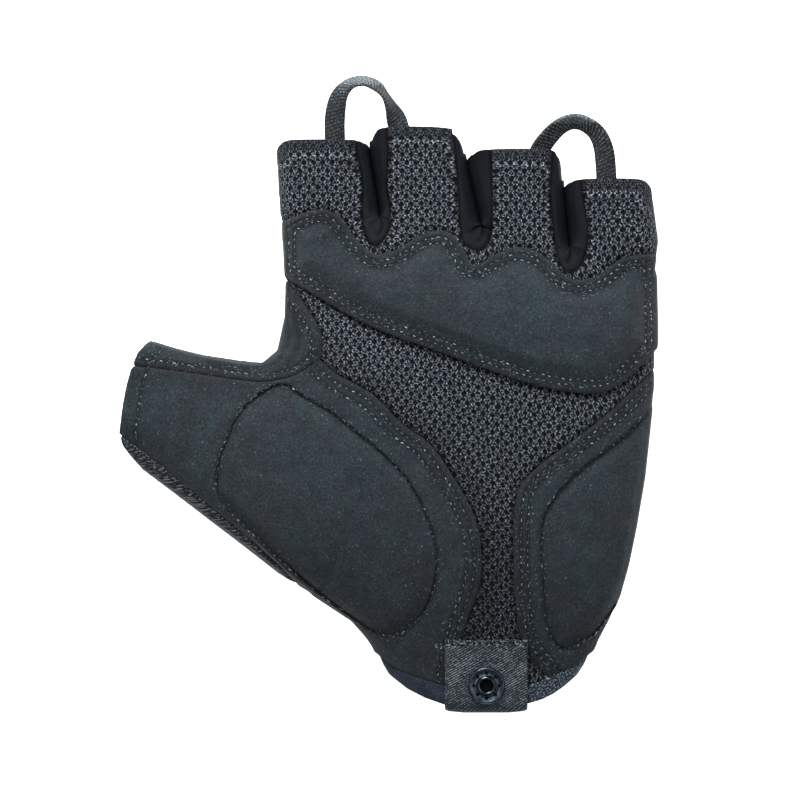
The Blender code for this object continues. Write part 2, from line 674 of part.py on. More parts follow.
def round_solid(name, profile, sides=SNAP_SIDES):
    points = []
    for radius, height in profile:
        for side in range(sides):
            turn = 2 * math.pi * side / sides
            points.append(
                (SNAP_X + radius * math.cos(turn), SNAP_Y + radius * math.sin(turn), height)
            )
    rows = len(profile)
    faces = []
    for row in range(rows):
        low, high = row * sides, ((row + 1) % rows) * sides
        for side in range(sides):
            after = (side + 1) % sides
            faces.append((low + side, low + after, high + after, high + side))
    return object_from(name, points, faces)


def post(name, x, y, radius, sides, low=CUT_LOW, high=CUT_HIGH):
    turns = [2 * math.pi * k / sides for k in range(sides)]
    outline = [(x + radius * math.cos(t), y + radius * math.sin(t)) for t in turns]
    return prism(name, outline, low, high)


# One riveted snap: flange with a raised lip, a hollow barrel through the cloth
# and a washer inside the cuff.
def build_snap(seat, inside):
    low = seat + GAP
    high = low + SNAP_FLANGE
    washer_top = inside - GAP
    washer_low = washer_top - SNAP_WASHER
    profile = [
        (SNAP_HOLE, washer_low), (SNAP_WASHER_RADIUS, washer_low),
        (SNAP_WASHER_RADIUS, washer_top), (SNAP_BARREL, washer_top), (SNAP_BARREL, low),
        (SNAP_RADIUS - SNAP_BEVEL_IN, low), (SNAP_RADIUS, low + SNAP_BEVEL),
        (SNAP_RADIUS - SNAP_BEVEL, high),
        (SNAP_LIP_RADIUS, high), (SNAP_LIP_RADIUS - SNAP_LIP_BEVEL, high + SNAP_LIP),
        (SNAP_HOLE, high + SNAP_LIP),
    ]
    snap = round_solid("snap", profile)
    for dot in range(SNAP_DOTS):
        turn = 2 * math.pi * dot / SNAP_DOTS
        x = SNAP_X + SNAP_DOT_RING * math.cos(turn)
        y = SNAP_Y + SNAP_DOT_RING * math.sin(turn)
        hole = post("hole", x, y, SNAP_DOT_RADIUS, SNAP_DOT_SIDES, low - SNAP_BEVEL, CUT_HIGH)
        combine(snap, hole, "DIFFERENCE")
    return snap


# A flat ribbon swept along its route, tilted about its own run
def build_loop(name, rows):
    places = smooth([(r.x, r.y, r.z) for r in rows], 2)
    tilts = [t.x for t in smooth([(r.tilt, 0.0) for r in rows], 2)]
    points = []
    for index, place in enumerate(places):
        before = places[max(index - 1, 0)]
        after = places[min(index + 1, len(places) - 1)]
        along = (after - before).normalized()
        flat = along.cross(Vector((0, 0, 1))).normalized()
        up = flat.cross(along)
        turn = math.radians(tilts[index])
        wide = (flat * math.cos(turn) + up * math.sin(turn)) * LOOP_WIDTH / 2
        thick = (up * math.cos(turn) - flat * math.sin(turn)) * LOOP_THICK / 2
        points += [place - wide - thick, place + wide - thick]
        points += [place + wide + thick, place - wide + thick]
    return object_from(name, points, tube_faces(len(places), 4))


def clear_scene():
    for obj in list(bpy.data.objects):
        bpy.data.objects.remove(obj)


clear_scene()
outer_form, inner_form = build_walls()
tab, seat, inside = build_tab(surface_tree(outer_form), surface_tree(inner_form))
remove(outer_form, inner_form)
finished(build_snap(seat, inside), gunmetal)
combine(tab, post("hole", SNAP_X, SNAP_Y, SNAP_BARREL + GAP, HOLE_SIDES), "DIFFERENCE")
finished(tab, webbing)
for label in ("palm_mesh", "cuff_binding"):
    hole = post("hole", SNAP_X, SNAP_Y, SNAP_BARREL + GAP, HOLE_SIDES, SEAM_HEIGHT)
    combine(bpy.data.objects[label], hole, "DIFFERENCE")
for label, rows in loops.items():
    finished(build_loop(label, rows), ribbon)
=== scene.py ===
# A half-finger cycling glove, left hand, lying on its back with the palm up.
# Sizes are in millimetres in the tables below and become metres through mm.
import math
from functools import partialmethod

import bmesh
import bpy
import numpy as np
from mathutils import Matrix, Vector
from mathutils.bvhtree import BVHTree


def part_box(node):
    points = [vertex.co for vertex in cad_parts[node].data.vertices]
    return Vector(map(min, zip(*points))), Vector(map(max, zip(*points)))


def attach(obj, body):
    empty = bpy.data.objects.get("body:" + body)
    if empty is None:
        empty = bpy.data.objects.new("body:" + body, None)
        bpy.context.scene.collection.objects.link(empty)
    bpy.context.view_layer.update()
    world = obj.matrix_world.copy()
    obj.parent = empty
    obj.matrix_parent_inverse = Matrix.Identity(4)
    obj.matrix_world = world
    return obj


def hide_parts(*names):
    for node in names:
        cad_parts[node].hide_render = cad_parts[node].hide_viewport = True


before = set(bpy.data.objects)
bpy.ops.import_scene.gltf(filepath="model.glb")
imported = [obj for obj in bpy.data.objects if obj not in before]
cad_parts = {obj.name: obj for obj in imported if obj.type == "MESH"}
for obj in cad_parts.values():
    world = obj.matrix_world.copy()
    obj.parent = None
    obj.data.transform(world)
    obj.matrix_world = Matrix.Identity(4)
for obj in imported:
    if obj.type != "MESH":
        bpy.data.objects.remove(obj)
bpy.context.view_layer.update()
mm = 0.001
print("frame loaded:", len(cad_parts), "nodes")


def deselectAll():
    if bpy.context.mode != "OBJECT":
        bpy.ops.object.mode_set(mode="OBJECT")
    bpy.ops.object.select_all(action="DESELECT")


def makeActive(obj):
    deselectAll()
    obj.select_set(True)
    bpy.context.view_layer.objects.active = obj
    return obj


def applyModifiers(obj):
    makeActive(obj)
    for modifier in list(obj.modifiers):
        bpy.ops.object.modifier_apply(modifier=modifier.name)


def openAll():  # opens the active mesh with everything selected
    bpy.ops.object.mode_set(mode="EDIT")
    bpy.ops.mesh.select_all(action="SELECT")


def newObject(name, data):
    obj = bpy.data.objects.new(name, data)
    bpy.context.collection.objects.link(obj)
    return obj


def meshObject(name, corners, faces, edges=()):
    mesh = bpy.data.meshes.new(name)
    mesh.from_pydata(corners, edges, faces)
    mesh.update()
    return newObject(name, mesh)


def readVertices(obj, what):
    values = np.empty(len(obj.data.vertices) * 3)
    obj.data.vertices.foreach_get(what, values)
    return values.reshape(-1, 3)


def getPoints(obj):
    return readVertices(obj, "co") / mm


def setPoints(obj, points):
    obj.data.vertices.foreach_set("co", (points * mm).ravel())
    obj.data.update()


def storeMasks(obj, **masks):
    for name, values in masks.items():
        layer = obj.data.attributes.new(name, "FLOAT", "POINT")
        layer.data.foreach_set("value", np.asarray(values, np.float32))


def storeCloth(obj, places):  # coordinates that follow the weave
    layer = obj.data.attributes.new("cloth", "FLOAT_VECTOR", "POINT")
    layer.data.foreach_set("vector", np.asarray(places, np.float32).ravel())


def smoothStep(low, high, value):
    t = np.clip((value - low) / (high - low), 0.0, 1.0)
    return t * t * (3 - 2 * t)


def fades(low, high, value):
    return 1 - smoothStep(low, high, value)


def bell(value, width):
    return np.exp(-((value / width) ** 2))


def groove(distance, width, depth):
    return -depth * bell(distance, width)


def curveThrough(points, steps=8):
    spots = np.array(points, float)
    padded = np.vstack([2 * spots[0] - spots[1], spots, 2 * spots[-1] - spots[-2]])
    out = []
    for p0, p1, p2, p3 in zip(padded, padded[1:], padded[2:], padded[3:]):
        for t in np.arange(steps) / steps:
            out.append(0.5 * (2 * p1 + (p2 - p0) * t + (2 * p0 - 5 * p1 + 4 * p2 - p3) * t**2
                              + (3 * p1 - p0 - 3 * p2 + p3) * t**3))
    out.append(spots[-1])
    return np.array(out)


def closedCurve(points, steps=8):
    around = [points[-1], *points, points[0], points[1]]
    return curveThrough(around, steps)[steps:-steps]


def ringOf(outline):
    return np.vstack([outline, outline[:1]])


def unitRows(rows):
    return rows / np.linalg.norm(rows, axis=1)[:, None]


def lengthAlong(line):
    legs = np.linalg.norm(np.diff(line, axis=0), axis=1)
    return np.concatenate([[0], np.cumsum(legs)])


def spaced(line, pitch):
    along = lengthAlong(line)
    count = max(2, int(round(along[-1] / pitch)))
    stops = np.linspace(0, along[-1], count + 1)
    return np.column_stack([np.interp(stops, along, line[:, k]) for k in range(line.shape[1])])


def shiftedLine(line, distance):  # to the left of its run, where the distance is positive
    run = unitRows(np.gradient(line, axis=0))
    moved = line + np.column_stack([-run[:, 1], run[:, 0]]) * distance
    return moved[distanceTo(moved, line) > abs(distance) * 0.96]


def nearestTo(points, line):
    best = np.full(len(points), 1e9)
    spots = np.zeros((len(points), 2))
    for a, b in zip(line[:-1], line[1:]):
        leg = b - a
        size = max(float(leg @ leg), 1e-9)
        t = np.clip(((points[:, :2] - a) @ leg) / size, 0, 1)
        spot = a + t[:, None] * leg
        away = np.linalg.norm(points[:, :2] - spot, axis=1)
        closer = away < best
        best[closer] = away[closer]
        spots[closer] = spot[closer]
    return best, spots


def distanceTo(points, line):
    return nearestTo(points, line)[0]


def meetSeam(points, line, pull=0.45, reach=1.6):  # draws a rim up to its seam
    away, spots = nearestTo(points, line)
    share = fades(0.0, reach, away) * np.minimum(away, pull) / np.maximum(away, 1e-6)
    points[:, :2] += (spots - points[:, :2]) * share[:, None]


def meetSideSeam(points, height=9.0, pull=0.35):  # the seam that runs round the side
    gap = height - points[:, 2]
    near = fades(0.0, 1.6, np.abs(gap))
    points[:, 2] += np.sign(gap) * np.minimum(np.abs(gap), pull) * near


def insideOf(points, outline):
    x, y = points[:, 0], points[:, 1]
    inside = np.zeros(len(points), bool)
    for (ax, ay), (bx, by) in zip(outline, np.roll(outline, -1, axis=0)):
        crosses = (ay > y) != (by > y)
        with np.errstate(divide="ignore", invalid="ignore"):
            where = (bx - ax) * (y - ay) / (by - ay) + ax
        inside ^= crosses & (x < where)
    return inside


seamLines = {
    "knuckleTop": [(-28.4, 45.9), (-27.0, 46.3), (-18.9, 48.9), (-13.1, 47.1), (-9.5, 42.0),
                   (-3.7, 36.9), (2.5, 38.5), (9.0, 42.4), (15.2, 43.1), (19.6, 38.4),
                   (22.3, 33.9), (28.6, 37.2), (33.9, 38.9), (39.9, 37.2), (44.2, 33.6),
                   (48.4, 30.4), (54.6, 31.0), (62.3, 36.1), (70.9, 37.2)],
    "knuckleLow": [(71.4, 12.2), (64.0, 4.9), (57.5, 0.8), (49.8, 0.3), (35.7, 3.1),
                   (14.6, 10.6), (-4.6, 17.7), (-20.9, 26.9), (-28.2, 31.4)],
    "crotchLow": [(-67.5, 7.5), (-54.3, 5.8), (-39.0, 3.6), (-33.1, 3.2), (-25.6, 4.7),
                  (-18.2, 9.0)],
    "crotchRight": [(-18.2, 9.0), (-17.8, 12.4), (-18.0, 15.9), (-19.5, 19.4), (-22.7, 24.3),
                    (-27.6, 30.8)],
    "thumbEdge": [(-18.2, 9.0), (-13.3, 4.9), (-4.5, 0.0), (3.0, -7.5), (10.4, -13.0),
                  (16.0, -20.5), (22.3, -31.7), (24.5, -42.8), (23.8, -51.5), (20.8, -60.0),
                  (18.5, -68.0), (17.0, -76.0)],
    "heelEdge": [(70.6, 6.9), (57.6, -5.3), (46.4, -13.9), (39.0, -19.5), (34.5, -24.7),
                 (33.2, -31.0), (33.0, -38.8), (33.2, -50.0), (35.2, -65.2), (42.7, -76.5)],
    "thumbStrip": [(-75.0, -7.8), (-70.0, -11.8), (-64.7, -15.7), (-51.7, -26.1), (-38.2, -37.3),
                   (-31.2, -43.5), (-24.2, -50.0)],
    "cuff": [(-8.0, -65.8), (-3.4, -69.05), (2.9, -73.25), (14.8, -77.25), (25.8, -78.15),
             (36.8, -77.05), (46.6, -73.25), (53.3, -69.25), (60.0, -63.8)],
    "thumbMouth": [(-63.2, 14.4), (-66.6, 10.8), (-69.4, 2.5), (-71.2, -8.5), (-70.6, -13.6)],
}
padOutlines = {
    "thenar": [(-29.3, 2.7), (-22.6, -0.5), (-15.9, -4.2), (-9.3, -9.2), (-1.1, -16.0),
               (5.6, -23.8), (10.3, -32.8), (12.6, -41.6), (11.9, -51.5), (7.8, -59.7),
               (1.9, -63.7), (-4.8, -62.8), (-18.2, -53.2), (-33.8, -39.5), (-44.2, -27.9),
               (-45.5, -20.5), (-43.5, -13.0), (-38.6, -3.7)],
    "heel": [(77.0, 2.8), (70.0, -3.6), (62.4, -10.9), (51.2, -19.5), (45.4, -25.0),
             (41.2, -31.5), (40.2, -38.8), (40.6, -50.0), (41.6, -60.0), (44.0, -66.4),
             (47.8, -67.6), (55.1, -63.3), (64.0, -52.0), (78.0, -44.0)],
}
hemLines = [
    [(-29.7, 64.1), (-28.6, 66.4), (-26.2, 67.3), (-10.0, 67.3), (-6.8, 66.5), (-5.2, 64.4)],
    [(-5.2, 64.4), (-3.8, 69.0), (-0.4, 70.7), (14.2, 70.6), (17.2, 69.2), (19.4, 66.0),
     (20.4, 61.2)],
    [(20.8, 61.2), (23.0, 64.0), (27.2, 64.8), (42.6, 64.8), (44.8, 63.2), (46.1, 60.0),
     (46.7, 54.3)],
    [(46.7, 54.1), (48.6, 56.2), (52.1, 56.9), (66.4, 56.9), (69.4, 55.4), (70.2, 52.4)],
]
lines = {name: curveThrough(points) for name, points in seamLines.items()}
pads = {name: closedCurve(points) for name, points in padOutlines.items()}
hems = [curveThrough(points, 4) for points in hemLines]
tipLine = np.vstack(hems)
knuckleOutline = np.vstack([lines["knuckleTop"], lines["knuckleLow"]])


class HeightMap:  # heights over an even grid, in millimetres
    def __init__(self, low, high, step):
        self.low, self.step = np.array(low, float), step
        self.size = tuple(int((b - a) / step) + 1 for a, b in zip(low, high))
        self.xs, self.ys = np.meshgrid(*(a + np.arange(count) * step
                                         for a, count in zip(low, self.size)), indexing="ij")

    def cast(self, tree, start=60.0):
        out = np.zeros(self.size)
        for i, j in np.ndindex(self.size):
            spot = Vector((self.xs[i, j], self.ys[i, j], start)) * mm
            hit = tree.ray_cast(spot, Vector((0, 0, -1)))[0]
            if hit is not None:
                out[i, j] = hit.z / mm
        return out

    def blurred(self, values, weight, sigma):
        reach = int(3 * sigma / self.step) + 1
        kernel = np.exp(-0.5 * (np.arange(-reach, reach + 1) * self.step / sigma) ** 2)
        kernel /= kernel.sum()

        def spread(field):
            for axis in (0, 1):
                field = np.apply_along_axis(np.convolve, axis, field, kernel, "same")
            return field

        return spread(values * weight) / np.maximum(spread(weight), 1e-4), spread(weight)

    def at(self, field, points):
        place = (points[:, :2] - self.low) / self.step
        place = np.clip(place, 0, np.array(self.size) - 1.001)
        base = place.astype(int)
        fx, fy = (place - base).T
        i, j = base.T
        return (field[i, j] * (1 - fx) * (1 - fy) + field[i + 1, j] * fx * (1 - fy)
                + field[i, j + 1] * (1 - fx) * fy + field[i + 1, j + 1] * fx * fy)


def treeOf(objects):
    corners, faces = [], []
    for obj in objects:
        start = len(corners)
        corners += [v.co.copy() for v in obj.data.vertices]
        faces += [tuple(start + k for k in p.vertices) for p in obj.data.polygons]
    return BVHTree.FromPolygons(corners, faces)


wallNodes = ["palm_mesh", "heel_panel", "thumb_panel", "crotch_strip", "cuff_binding",
             "fourchette_index_middle", "fourchette_middle_ring", "fourchette_ring_little",
             "thumb_back", "back_panel"]
mapSizes = {
    "low": (-78.0, -90.0),
    "high": (78.0, 78.0),
    "step": 1.0,
    "palm": 11.5,            # what lies lower is no part of the palm side
    "padStep": 1.2,          # how far the pads stand up in the CAD
    "blur": 3.2,
    "inner": (0.72, 0.97),   # how full the map has to be round a spot
}
heights = HeightMap(mapSizes["low"], mapSizes["high"], mapSizes["step"])
rawTop = heights.cast(treeOf([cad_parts[name] for name in wallNodes]))
grid = np.column_stack([heights.xs.ravel(), heights.ys.ravel()])
onPad = insideOf(grid, pads["thenar"]) | insideOf(grid, pads["heel"])
padTop = np.where(onPad.reshape(heights.size), mapSizes["padStep"], 0.0)
valid = (rawTop > mapSizes["palm"]).astype(float)
smoothTop, fullness = heights.blurred(rawTop - padTop, valid, mapSizes["blur"])
liftMap = np.where(valid > 0, (smoothTop - rawTop) * smoothStep(*mapSizes["inner"], fullness), 0.0)
liftMap = heights.blurred(liftMap, np.ones(heights.size), 0.8)[0]
print("height map of the palm side made")

thumbSide = np.array([  # y, the edge's x, and how far it moves out
    (-64.0, -5.5, 0.0), (-57.0, -13.0, 0.7), (-50.4, -21.5, 1.2),
    (-44.0, -31.0, 0.6), (-37.7, -40.5, 0.2), (-31.0, -49.5, 0.0)])


def roundTips(points):  # the finger openings end on one soft line
    x, y, _ = points.T
    gap = np.interp(x, *tipLine.T) + 0.2 - y
    y += gap * fades(0.0, 2.6, np.abs(gap)) * (smoothStep(-28.5, -25.5, x) * fades(65.5, 68.5, x))


def widen(points, outward):  # the long edge below the thumb bows out a little
    x, y, _ = points.T
    stops, edge, amount = thumbSide.T
    x -= np.interp(y, stops, amount) * fades(1.0, 12.0, x - np.interp(y, stops, edge))
    across = smoothStep(24.0, 34.0, y) * fades(40.0, 56.0, y)
    x += outward * across * smoothStep(56.0, 68.0, x)


def settle(obj, outward):  # takes the CAD's facets out of the palm side
    points = getPoints(obj)
    widen(points, outward)
    roundTips(points)
    points[:, 2] += heights.at(liftMap, points) * smoothStep(9.0, 12.0, points[:, 2])
    return points


def evenMesh(node, name, voxel, rounds):  # the CAD wall with an even, relaxed mesh
    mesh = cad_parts[node].data.copy()
    obj = newObject(name, mesh)
    bm = bmesh.new()
    bm.from_mesh(mesh)
    bmesh.ops.remove_doubles(bm, verts=bm.verts[:], dist=0.01 * mm)
    bm.to_mesh(mesh)
    bm.free()
    mesh.materials.clear()
    remesh = obj.modifiers.new("remesh", "REMESH")
    remesh.mode = "VOXEL"
    remesh.voxel_size = voxel * mm
    relax = obj.modifiers.new("relax", "SMOOTH")
    relax.factor = 0.5
    relax.iterations = rounds
    applyModifiers(obj)
    obj.data.shade_smooth()
    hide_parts(node)
    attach(obj, "root")
    return obj


def softWall(node, name, voxel, rounds=5, plump=0.3, outward=0.8):
    obj = evenMesh(node, name, voxel, rounds)
    # plump makes up for what the relaxing took
    points = getPoints(obj) + readVertices(obj, "normal") * plump
    points[:, 2] = np.maximum(points[:, 2], 0.0)
    setPoints(obj, points)
    return obj, settle(obj, outward)


def outerShare(points, knuckle=0.0):  # 1 on the outer skin, 0 on the inside
    surface = heights.at(rawTop + liftMap, points) + knuckle
    return smoothStep(-1.3, -0.4, points[:, 2] - surface) * smoothStep(9.2, 11.0, points[:, 2])


def clothMap(obj, points, zero, turnUp):  # flat coordinates that run on round the sides
    x, y, z = points.T
    level = heights.at(smoothTop, points) if zero is None else zero
    wrap = np.tanh((20.0 - x) / 12.0) * turnUp * (z - level)
    storeCloth(obj, np.column_stack([x + wrap, y, np.zeros(len(points))]))


def srgb(colour):
    return tuple((c / 255 / 12.92 if c <= 10 else ((c / 255 + 0.055) / 1.055) ** 2.4)
                 for c in colour) + (1.0,)


class Wire:  # a shader socket that can stand in plain sums
    def __init__(self, finish, socket):
        self.finish, self.socket = finish, socket

    def maths(self, operation, *others, clamp=False):
        return self.finish.add("ShaderNodeMath", {"operation": operation, "use_clamp": clamp},
                               dict(enumerate([self, *others])))

    def __rsub__(self, other):
        return (self - other).maths("MULTIPLY", -1.0)

    def wrapped(self):
        return self.maths("WRAP", 0.5, -0.5)

    def clamped(self):
        return self.maths("ADD", 0.0, clamp=True)


for word, operation in {"__add__": "ADD", "__sub__": "SUBTRACT", "__mul__": "MULTIPLY",
                        "__pow__": "POWER", "__abs__": "ABSOLUTE", "sine": "SINE",
                        "cosine": "COSINE", "lesser": "MINIMUM", "greater": "MAXIMUM"}.items():
    setattr(Wire, word, partialmethod(Wire.maths, operation))


class Finish:  # one material and the nodes it is made of
    def __init__(self, name):
        self.material = bpy.data.materials.new(name)
        self.material.use_nodes = True
        self.tree = self.material.node_tree
        self.shader = self.tree.nodes["Principled BSDF"]

    def add(self, kind, settings=None, inputs=None, output=0):
        node = self.tree.nodes.new(kind)
        for key, value in (settings or {}).items():
            setattr(node, key, value)
        for key, value in (inputs or {}).items():
            self.connect(value, node.inputs[key])
        return Wire(self, node.outputs[output])

    def connect(self, value, socket):
        if isinstance(value, Wire):
            self.tree.links.new(value.socket, socket)
        elif socket.type == "VECTOR" and len(value) == 4:
            socket.default_value = value[:3]
        else:
            socket.default_value = value

    def scaled(self, vector, scale):
        return self.add("ShaderNodeVectorMath", {"operation": "SCALE"},
                        {0: vector, "Scale": scale})

    def places(self):  # object coordinates in millimetres
        return self.scaled(self.add("ShaderNodeTexCoord", output="Object"), 1 / mm)

    def attribute(self, name, output="Fac"):
        return self.add("ShaderNodeAttribute", {"attribute_name": name}, output=output)

    def weave(self):  # the cloth's own coordinates, whole and apart
        cloth = self.attribute("cloth", "Vector")
        node = self.add("ShaderNodeSeparateXYZ", inputs={0: cloth}).socket.node
        return cloth, Wire(self, node.outputs[0]), Wire(self, node.outputs[1])

    def noise(self, vector, scale, detail=2.0, rough=0.5):
        return self.add("ShaderNodeTexNoise", {"noise_dimensions": "3D"},
                        {"Vector": vector, "Scale": scale, "Detail": detail, "Roughness": rough})

    def cells(self, vector, scale):
        return self.add("ShaderNodeTexVoronoi", {"feature": "F1"},
                        {"Vector": vector, "Scale": scale, "Randomness": 1.0})

    def ramp(self, value, low, high, toLow=0.0, toHigh=1.0):
        return self.add("ShaderNodeMapRange", {"interpolation_type": "SMOOTHSTEP"},
                        {"Value": value, "From Min": low, "From Max": high,
                         "To Min": toLow, "To Max": toHigh})

    def mixed(self, share, first, second):
        return self.add("ShaderNodeMix", {"data_type": "RGBA"}, {0: share, 6: first, 7: second}, 2)

    def bump(self, height, strength, distance):
        return self.add("ShaderNodeBump", inputs={"Strength": strength, "Distance": distance * mm,
                                                  "Height": height})

    def skin(self, colour, rough, shine, relief, strength, depth, **more):
        return self.give(Base_Color=colour, Roughness=rough, Specular_IOR_Level=shine,
                         Normal=self.bump(relief, strength, depth), **more)

    def give(self, **sockets):
        for key, value in sockets.items():
            self.connect(value, self.shader.inputs[key.replace("_", " ")])
        return self.material


def dress(obj, material):
    obj.data.materials.clear()
    obj.data.materials.append(material)
    return obj


suedeLook = {"colour": (34, 41, 46), "cool": (35, 44, 47), "warm": (35, 39, 44),
             "rim": (36, 39, 44), "lint": (106, 117, 124), "grain": 1.7, "rough": 0.93}


def suedeFinish():
    finish = Finish("suede")
    place = finish.places()
    tone = {key: srgb(suedeLook[key]) for key in ("colour", "cool", "warm", "rim", "lint")}
    broad, other = finish.noise(place, 0.05), finish.noise(place, 0.09, 1.0)
    fine = finish.noise(place, suedeLook["grain"], 4.0, 0.75)
    nap = finish.noise(place, 5.5, 2.0, 0.6)
    base = finish.mixed(finish.ramp(broad, 0.4, 0.62), tone["colour"], tone["warm"])
    base = finish.mixed(finish.ramp(other, 0.5, 0.66) * 0.8, base, tone["cool"])
    base = finish.mixed(finish.attribute("rim") * 0.8, base, tone["rim"])
    worn = finish.noise(place, 0.22, 3.0, 0.6)
    dark = finish.ramp(fine, 0.28, 0.74, 0.5, 1.6) * finish.ramp(nap, 0.3, 0.7, 0.82, 1.18)
    dark = dark * finish.ramp(worn, 0.3, 0.7, 0.88, 1.14)
    # painted shade: darker in the stitch grooves and where the shade mask made in shapeSuede is low
    dark = dark * (1.0 - finish.attribute("sewn") * 0.5) * finish.attribute("shade")
    pick = finish.noise(place, 0.31, 0.0)
    ragged = (nap - 0.5) * 0.12
    near = finish.attribute("lint")
    fleck = finish.ramp(finish.cells(place, 0.34) + ragged - near * 0.03, 0.1, 0.03)
    fleck = fleck * finish.ramp(pick + near * 0.12, 0.5, 0.64)
    dust = finish.ramp(finish.cells(place, 0.95) + ragged, 0.26, 0.08)
    dust = dust * finish.ramp(fine + near * 0.12, 0.44, 0.6)
    lit = (fleck * 0.62).greater(dust * (near * 0.25 + 0.28))
    relief = fine * 0.7 + nap * 0.3 + lit * 0.3
    colour = finish.mixed(lit, finish.scaled(base, dark), tone["lint"])
    return finish.skin(colour, suedeLook["rough"], 0.12, relief, 0.6, 0.24,
                       Sheen_Weight=0.06, Sheen_Roughness=0.5)


# the near-black colour of the net's holes is painted shade
knitLook = {"wide": 2.47, "row": 2.19, "yarn": (182, 195, 212), "dim": (9, 12, 17),
            "hollow": (2, 3, 4), "tint": (60, 24, 56)}


def toSpots(u, v, downBy=0.0):  # distance to the nearest of the net's staggered spots
    wide, row = knitLook["wide"], knitLook["row"]
    away = []
    for shift in (0.0, 0.5):
        du = (u * (1 / wide) + shift).wrapped() * wide
        dv = ((v + downBy) * (0.5 / row) + shift).wrapped() * (2 * row)
        away.append((du * du + dv * dv) ** 0.5)
    return away[0].lesser(away[1])


def threads(finish, u, v, wobble, way):  # one family of slanting yarns of the net
    across = u * (way / knitLook["wide"]) + v * (0.5 / knitLook["row"]) + wobble
    return finish.ramp((across * (6 * math.pi)).cosine(), 0.3, 0.95)


def knitFinish():
    finish = Finish("knit")
    cloth, x, y = finish.weave()
    shear = ((45.0 - y) * 0.0035).greater(0.0).lesser(0.3)
    wander = (finish.noise(cloth, 0.16, 1.0) - 0.5) * 1.6
    u = x + wander
    v = y + shear * (x - 20.0) + wander * 0.7
    big = toSpots(u, v)
    uneven = finish.noise(cloth, 1.3)
    edge = (uneven - 0.5) * 0.75
    hem = finish.attribute("hem")
    hole = finish.ramp(big + edge + hem * 0.22, 0.8, 0.42)
    pit = finish.ramp(toSpots(u, v, 1.4) + edge * 0.8, 0.62, 0.24)
    dip = finish.ramp(toSpots(u, v, -1.24) + edge * 0.8, 0.58, 0.16) * 0.75
    gap = hole.greater(pit * 0.95).greater(dip) * (1.0 - hem * 0.35)
    fuzz = finish.noise(cloth, 2.3, 2.0, 0.6)
    wobble = (uneven - 0.5) * 0.34
    rising = threads(finish, u, v, wobble, 1.0)
    falling = threads(finish, u, v, (fuzz - 0.5) * 0.2 - wobble, -1.0)
    streak = rising.greater(falling) * finish.ramp(fuzz, 0.38, 0.62, 0.12, 1.0)
    flecks = finish.ramp(fuzz, 0.46, 0.6) * finish.attribute("hemRow")
    glow = streak * 0.46 + finish.ramp(fuzz, 0.55, 0.68) * 0.3 + flecks * 0.35
    glow = glow * finish.ramp(big, 0.5, 1.15, 0.5, 1.0) * (1.0 - hem * 0.4)
    yarn = finish.mixed(glow.clamped(), srgb(knitLook["dim"]), srgb(knitLook["yarn"]))
    yarn = finish.mixed(finish.attribute("tint") * 0.3, yarn, srgb(knitLook["tint"]))
    # painted shade: the holes of the net are coloured near-black
    colour = finish.mixed(gap, yarn, srgb(knitLook["hollow"]))
    relief = (1.0 - gap) + streak * 0.35 + fuzz * 0.2
    # painted shade: the dim mask darkens the net
    shade = finish.scaled(colour, finish.attribute("dim"))
    return finish.skin(shade, 0.72, 0.12, relief, 1.0, 0.4)


lycraLook = {"colour": (9, 14, 19), "grain": 3.0}


def lycraFinish():
    finish = Finish("lycra")
    place = finish.places()
    broad = finish.noise(place, 0.12)
    weave = finish.noise(place, lycraLook["grain"], 3.0, 0.6)
    dark = finish.ramp(broad, 0.3, 0.7, 0.8, 1.15) * finish.ramp(weave, 0.3, 0.7, 0.85, 1.15)
    # painted shade: the dim mask darkens the lycra
    shade = finish.scaled(srgb(lycraLook["colour"]), dark * finish.attribute("dim"))
    return finish.skin(shade, 0.7, 0.1, weave, 0.3, 0.1)


backLook = {"colour": (26, 31, 37), "wale": 0.9, "course": 0.8}


def backFinish():  # a plain knit with ribs
    finish = Finish("backKnit")
    cloth, x, y = finish.weave()
    ribs = (x * (math.tau / backLook["wale"])).cosine()
    loops = (y * (math.tau / backLook["course"]) + abs(ribs) * 2.0).cosine()
    level = ribs * 0.3 + loops * 0.25 + finish.noise(cloth, 2.4, 3.0, 0.6)
    shade = finish.scaled(srgb(backLook["colour"]), finish.ramp(level, 0.1, 1.0, 0.5, 1.45))
    return finish.skin(shade, 0.8, 0.12, level, 0.6, 0.2)


sideLook = {"ground": (17, 21, 26), "thread": (150, 160, 168), "rib": 0.95, "step": 1.25}


def sideFinish():  # slanting bright threads on a dark ground
    finish = Finish("sideKnit")
    cloth, x, y = finish.weave()
    wander = (finish.noise(cloth, 0.4, 1.0) - 0.5) * 1.6
    ribs = ((x * 0.66 + y * 0.75 + wander) * (math.tau / sideLook["rib"])).sine()
    steps = (x * 0.75 - y * 0.66 + wander) * (math.tau / sideLook["step"]) + ribs * 1.6
    fuzz = finish.noise(cloth, 2.2, 2.0, 0.6)
    glow = finish.ramp(ribs * steps.sine(), 0.05, 0.75) * finish.ramp(fuzz, 0.4, 0.62, 0.08, 1.0)
    glow = glow.greater(finish.ramp(fuzz, 0.54, 0.68) * 0.8) * 0.5
    colour = finish.mixed(glow, srgb(sideLook["ground"]), srgb(sideLook["thread"]))
    return finish.skin(colour, 0.8, 0.12, glow + fuzz * 0.3, 0.7, 0.25)


elasticLook = {"colour": (27, 33, 45), "fleck": (150, 162, 172), "rib": 0.7,
               "fleckFrom": 24.0, "fleckFull": 38.0}


